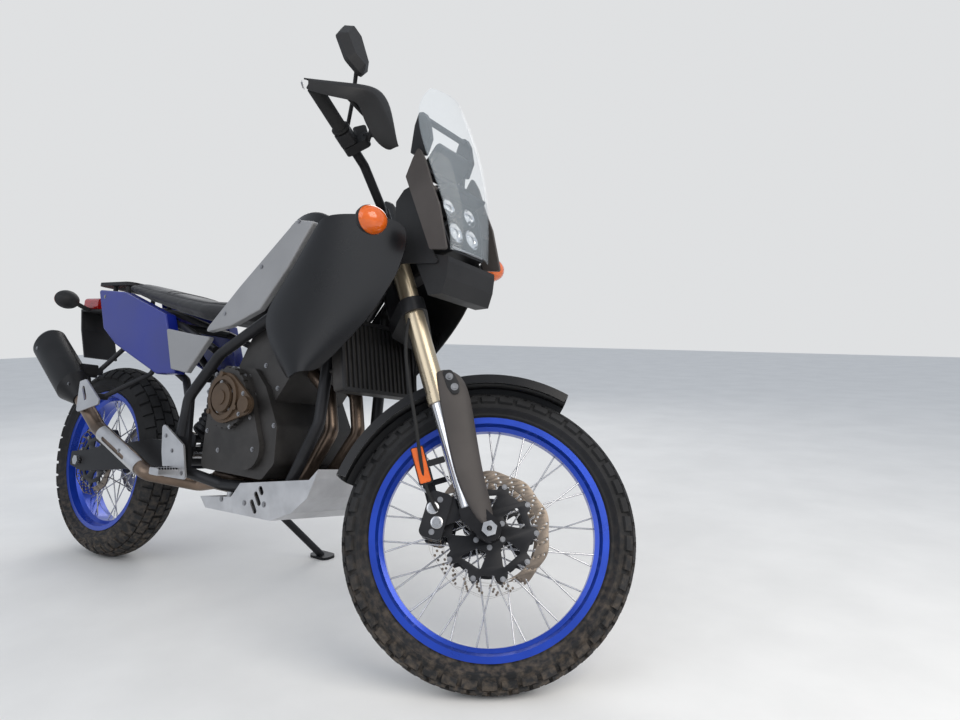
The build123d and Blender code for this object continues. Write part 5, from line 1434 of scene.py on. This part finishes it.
class MOTO_OT_stage(bpy.types.Operator):
    """Floor, backdrop, soft lights and the camera at the photograph's place"""
    bl_idname = "moto.stage"
    bl_label = "Stage"

    def execute(self, context):
        settings = context.scene.moto_stage
        scene = context.scene
        scene.view_settings.view_transform = "Standard"
        ahead = Vector((cos(CAMERA_YAW) * cos(CAMERA_DIP), sin(CAMERA_YAW) * cos(CAMERA_DIP),
                        -sin(CAMERA_DIP)))
        right = Vector((sin(CAMERA_YAW), -cos(CAMERA_YAW), 0.0))
        up = right.cross(ahead)
        right, up = (right * cos(CAMERA_ROLL) + up * sin(CAMERA_ROLL),
                     up * cos(CAMERA_ROLL) - right * sin(CAMERA_ROLL))
        camera = bpy.data.objects.new("camera", bpy.data.cameras.new("camera"))
        camera.data.lens = settings.lens
        camera.data.sensor_width = 36.0
        matrix = Matrix((right, up, -ahead)).transposed().to_4x4()
        matrix.translation = CAMERA_PLACE
        camera.matrix_world = matrix
        scene.collection.objects.link(camera)
        scene.camera = camera

        floor_mesh = mesh_from("floor", [(-14, -14, 0), (14, -14, 0), (14, 14, 0), (-14, 14, 0)],
                               [(0, 1, 2, 3)])
        floor = bpy.data.objects.new("floor", floor_mesh)
        scene.collection.objects.link(floor)
        ground = finish("floor_pale", (0.80, 0.79, 0.77), 0.85, 0.03, 3.0, 300.0, 0.05)
        floor_mesh.materials.append(ground.material)

        world = bpy.data.worlds.new("studio")
        scene.world = world
        world.use_nodes = True
        tree = world.node_tree
        tree.nodes.clear()
        output = tree.nodes.new("ShaderNodeOutputWorld")
        seen = tree.nodes.new("ShaderNodeBackground")
        seen.inputs["Color"].default_value = (0.74, 0.75, 0.76, 1.0)
        light = tree.nodes.new("ShaderNodeBackground")
        light.inputs["Color"].default_value = (0.80, 0.86, 0.95, 1.0)
        light.inputs["Strength"].default_value = 0.70
        path = tree.nodes.new("ShaderNodeLightPath")
        mix = tree.nodes.new("ShaderNodeMixShader")
        either = tree.nodes.new("ShaderNodeMath")
        either.operation = "MAXIMUM"
        tree.links.new(path.outputs["Is Camera Ray"], either.inputs[0])
        tree.links.new(path.outputs["Is Transmission Ray"], either.inputs[1])
        tree.links.new(either.outputs[0], mix.inputs["Fac"])
        tree.links.new(light.outputs[0], mix.inputs[1])
        tree.links.new(seen.outputs[0], mix.inputs[2])
        tree.links.new(mix.outputs[0], output.inputs["Surface"])

        lamps = [
            # name, place, size, power, colour
            ("key", (3.2, -0.6, 2.6), 2.4, settings.key, (1.0, 0.95, 0.88)),
            ("side", (-0.4, -3.4, 2.4), 3.0, settings.key * 0.55, (0.95, 0.97, 1.0)),
            ("rear", (-2.2, 2.4, 2.8), 2.6, settings.fill, (1.0, 0.97, 0.93)),
        ]
        for name, place, size, power, colour in lamps:
            data = bpy.data.lights.new(name, "AREA")
            data.size = size
            data.energy = power
            data.color = colour
            lamp = bpy.data.objects.new(name, data)
            lamp.location = place
            lamp.rotation_euler = (Vector((0.0, 0.0, 0.6)) - Vector(place)).to_track_quat("-Z",
                                                                                          "Y").to_euler()
            scene.collection.objects.link(lamp)
        return {"FINISHED"}


class MOTO_PT_panel(bpy.types.Panel):
    """Sizes, colours and makers of the motorcycle"""
    bl_label = "Motorcycle"
    bl_idname = "MOTO_PT_panel"
    bl_space_type = "VIEW_3D"
    bl_region_type = "UI"
    bl_category = "Motorcycle"

    def draw(self, context):
        for group in (context.scene.moto_paint, context.scene.moto_tyres, context.scene.moto_stage):
            box = self.layout.box()
            for name in group.__annotations__:
                box.prop(group, name)
        for operator in OPERATORS:
            self.layout.operator(operator.bl_idname)


OPERATORS = (MOTO_OT_finishes, MOTO_OT_tyres, MOTO_OT_shrouds, MOTO_OT_fork, MOTO_OT_brakes, MOTO_OT_lamps,
             MOTO_OT_seat, MOTO_OT_hand_guards,
             MOTO_OT_fasteners, MOTO_OT_stage)
GROUPS = {"moto_paint": PaintSettings, "moto_tyres": TyreSettings, "moto_stage": StageSettings}


def register():
    """Registers the settings, the operators and the panel."""
    for name, group in GROUPS.items():
        bpy.utils.register_class(group)
        setattr(bpy.types.Scene, name, PointerProperty(type=group))
    for cls in (*OPERATORS, MOTO_PT_panel):
        bpy.utils.register_class(cls)


def unregister():
    """Takes them out again."""
    for cls in (MOTO_PT_panel, *reversed(OPERATORS)):
        bpy.utils.unregister_class(cls)
    for name, group in reversed(GROUPS.items()):
        delattr(bpy.types.Scene, name)
        bpy.utils.unregister_class(group)


def main():
    """Runs every operator in order."""
    register()
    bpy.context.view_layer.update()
    for operator in OPERATORS:
        group, name = operator.bl_idname.split(".")
        getattr(getattr(bpy.ops, group), name)()


if __name__ == "__main__":
    main()
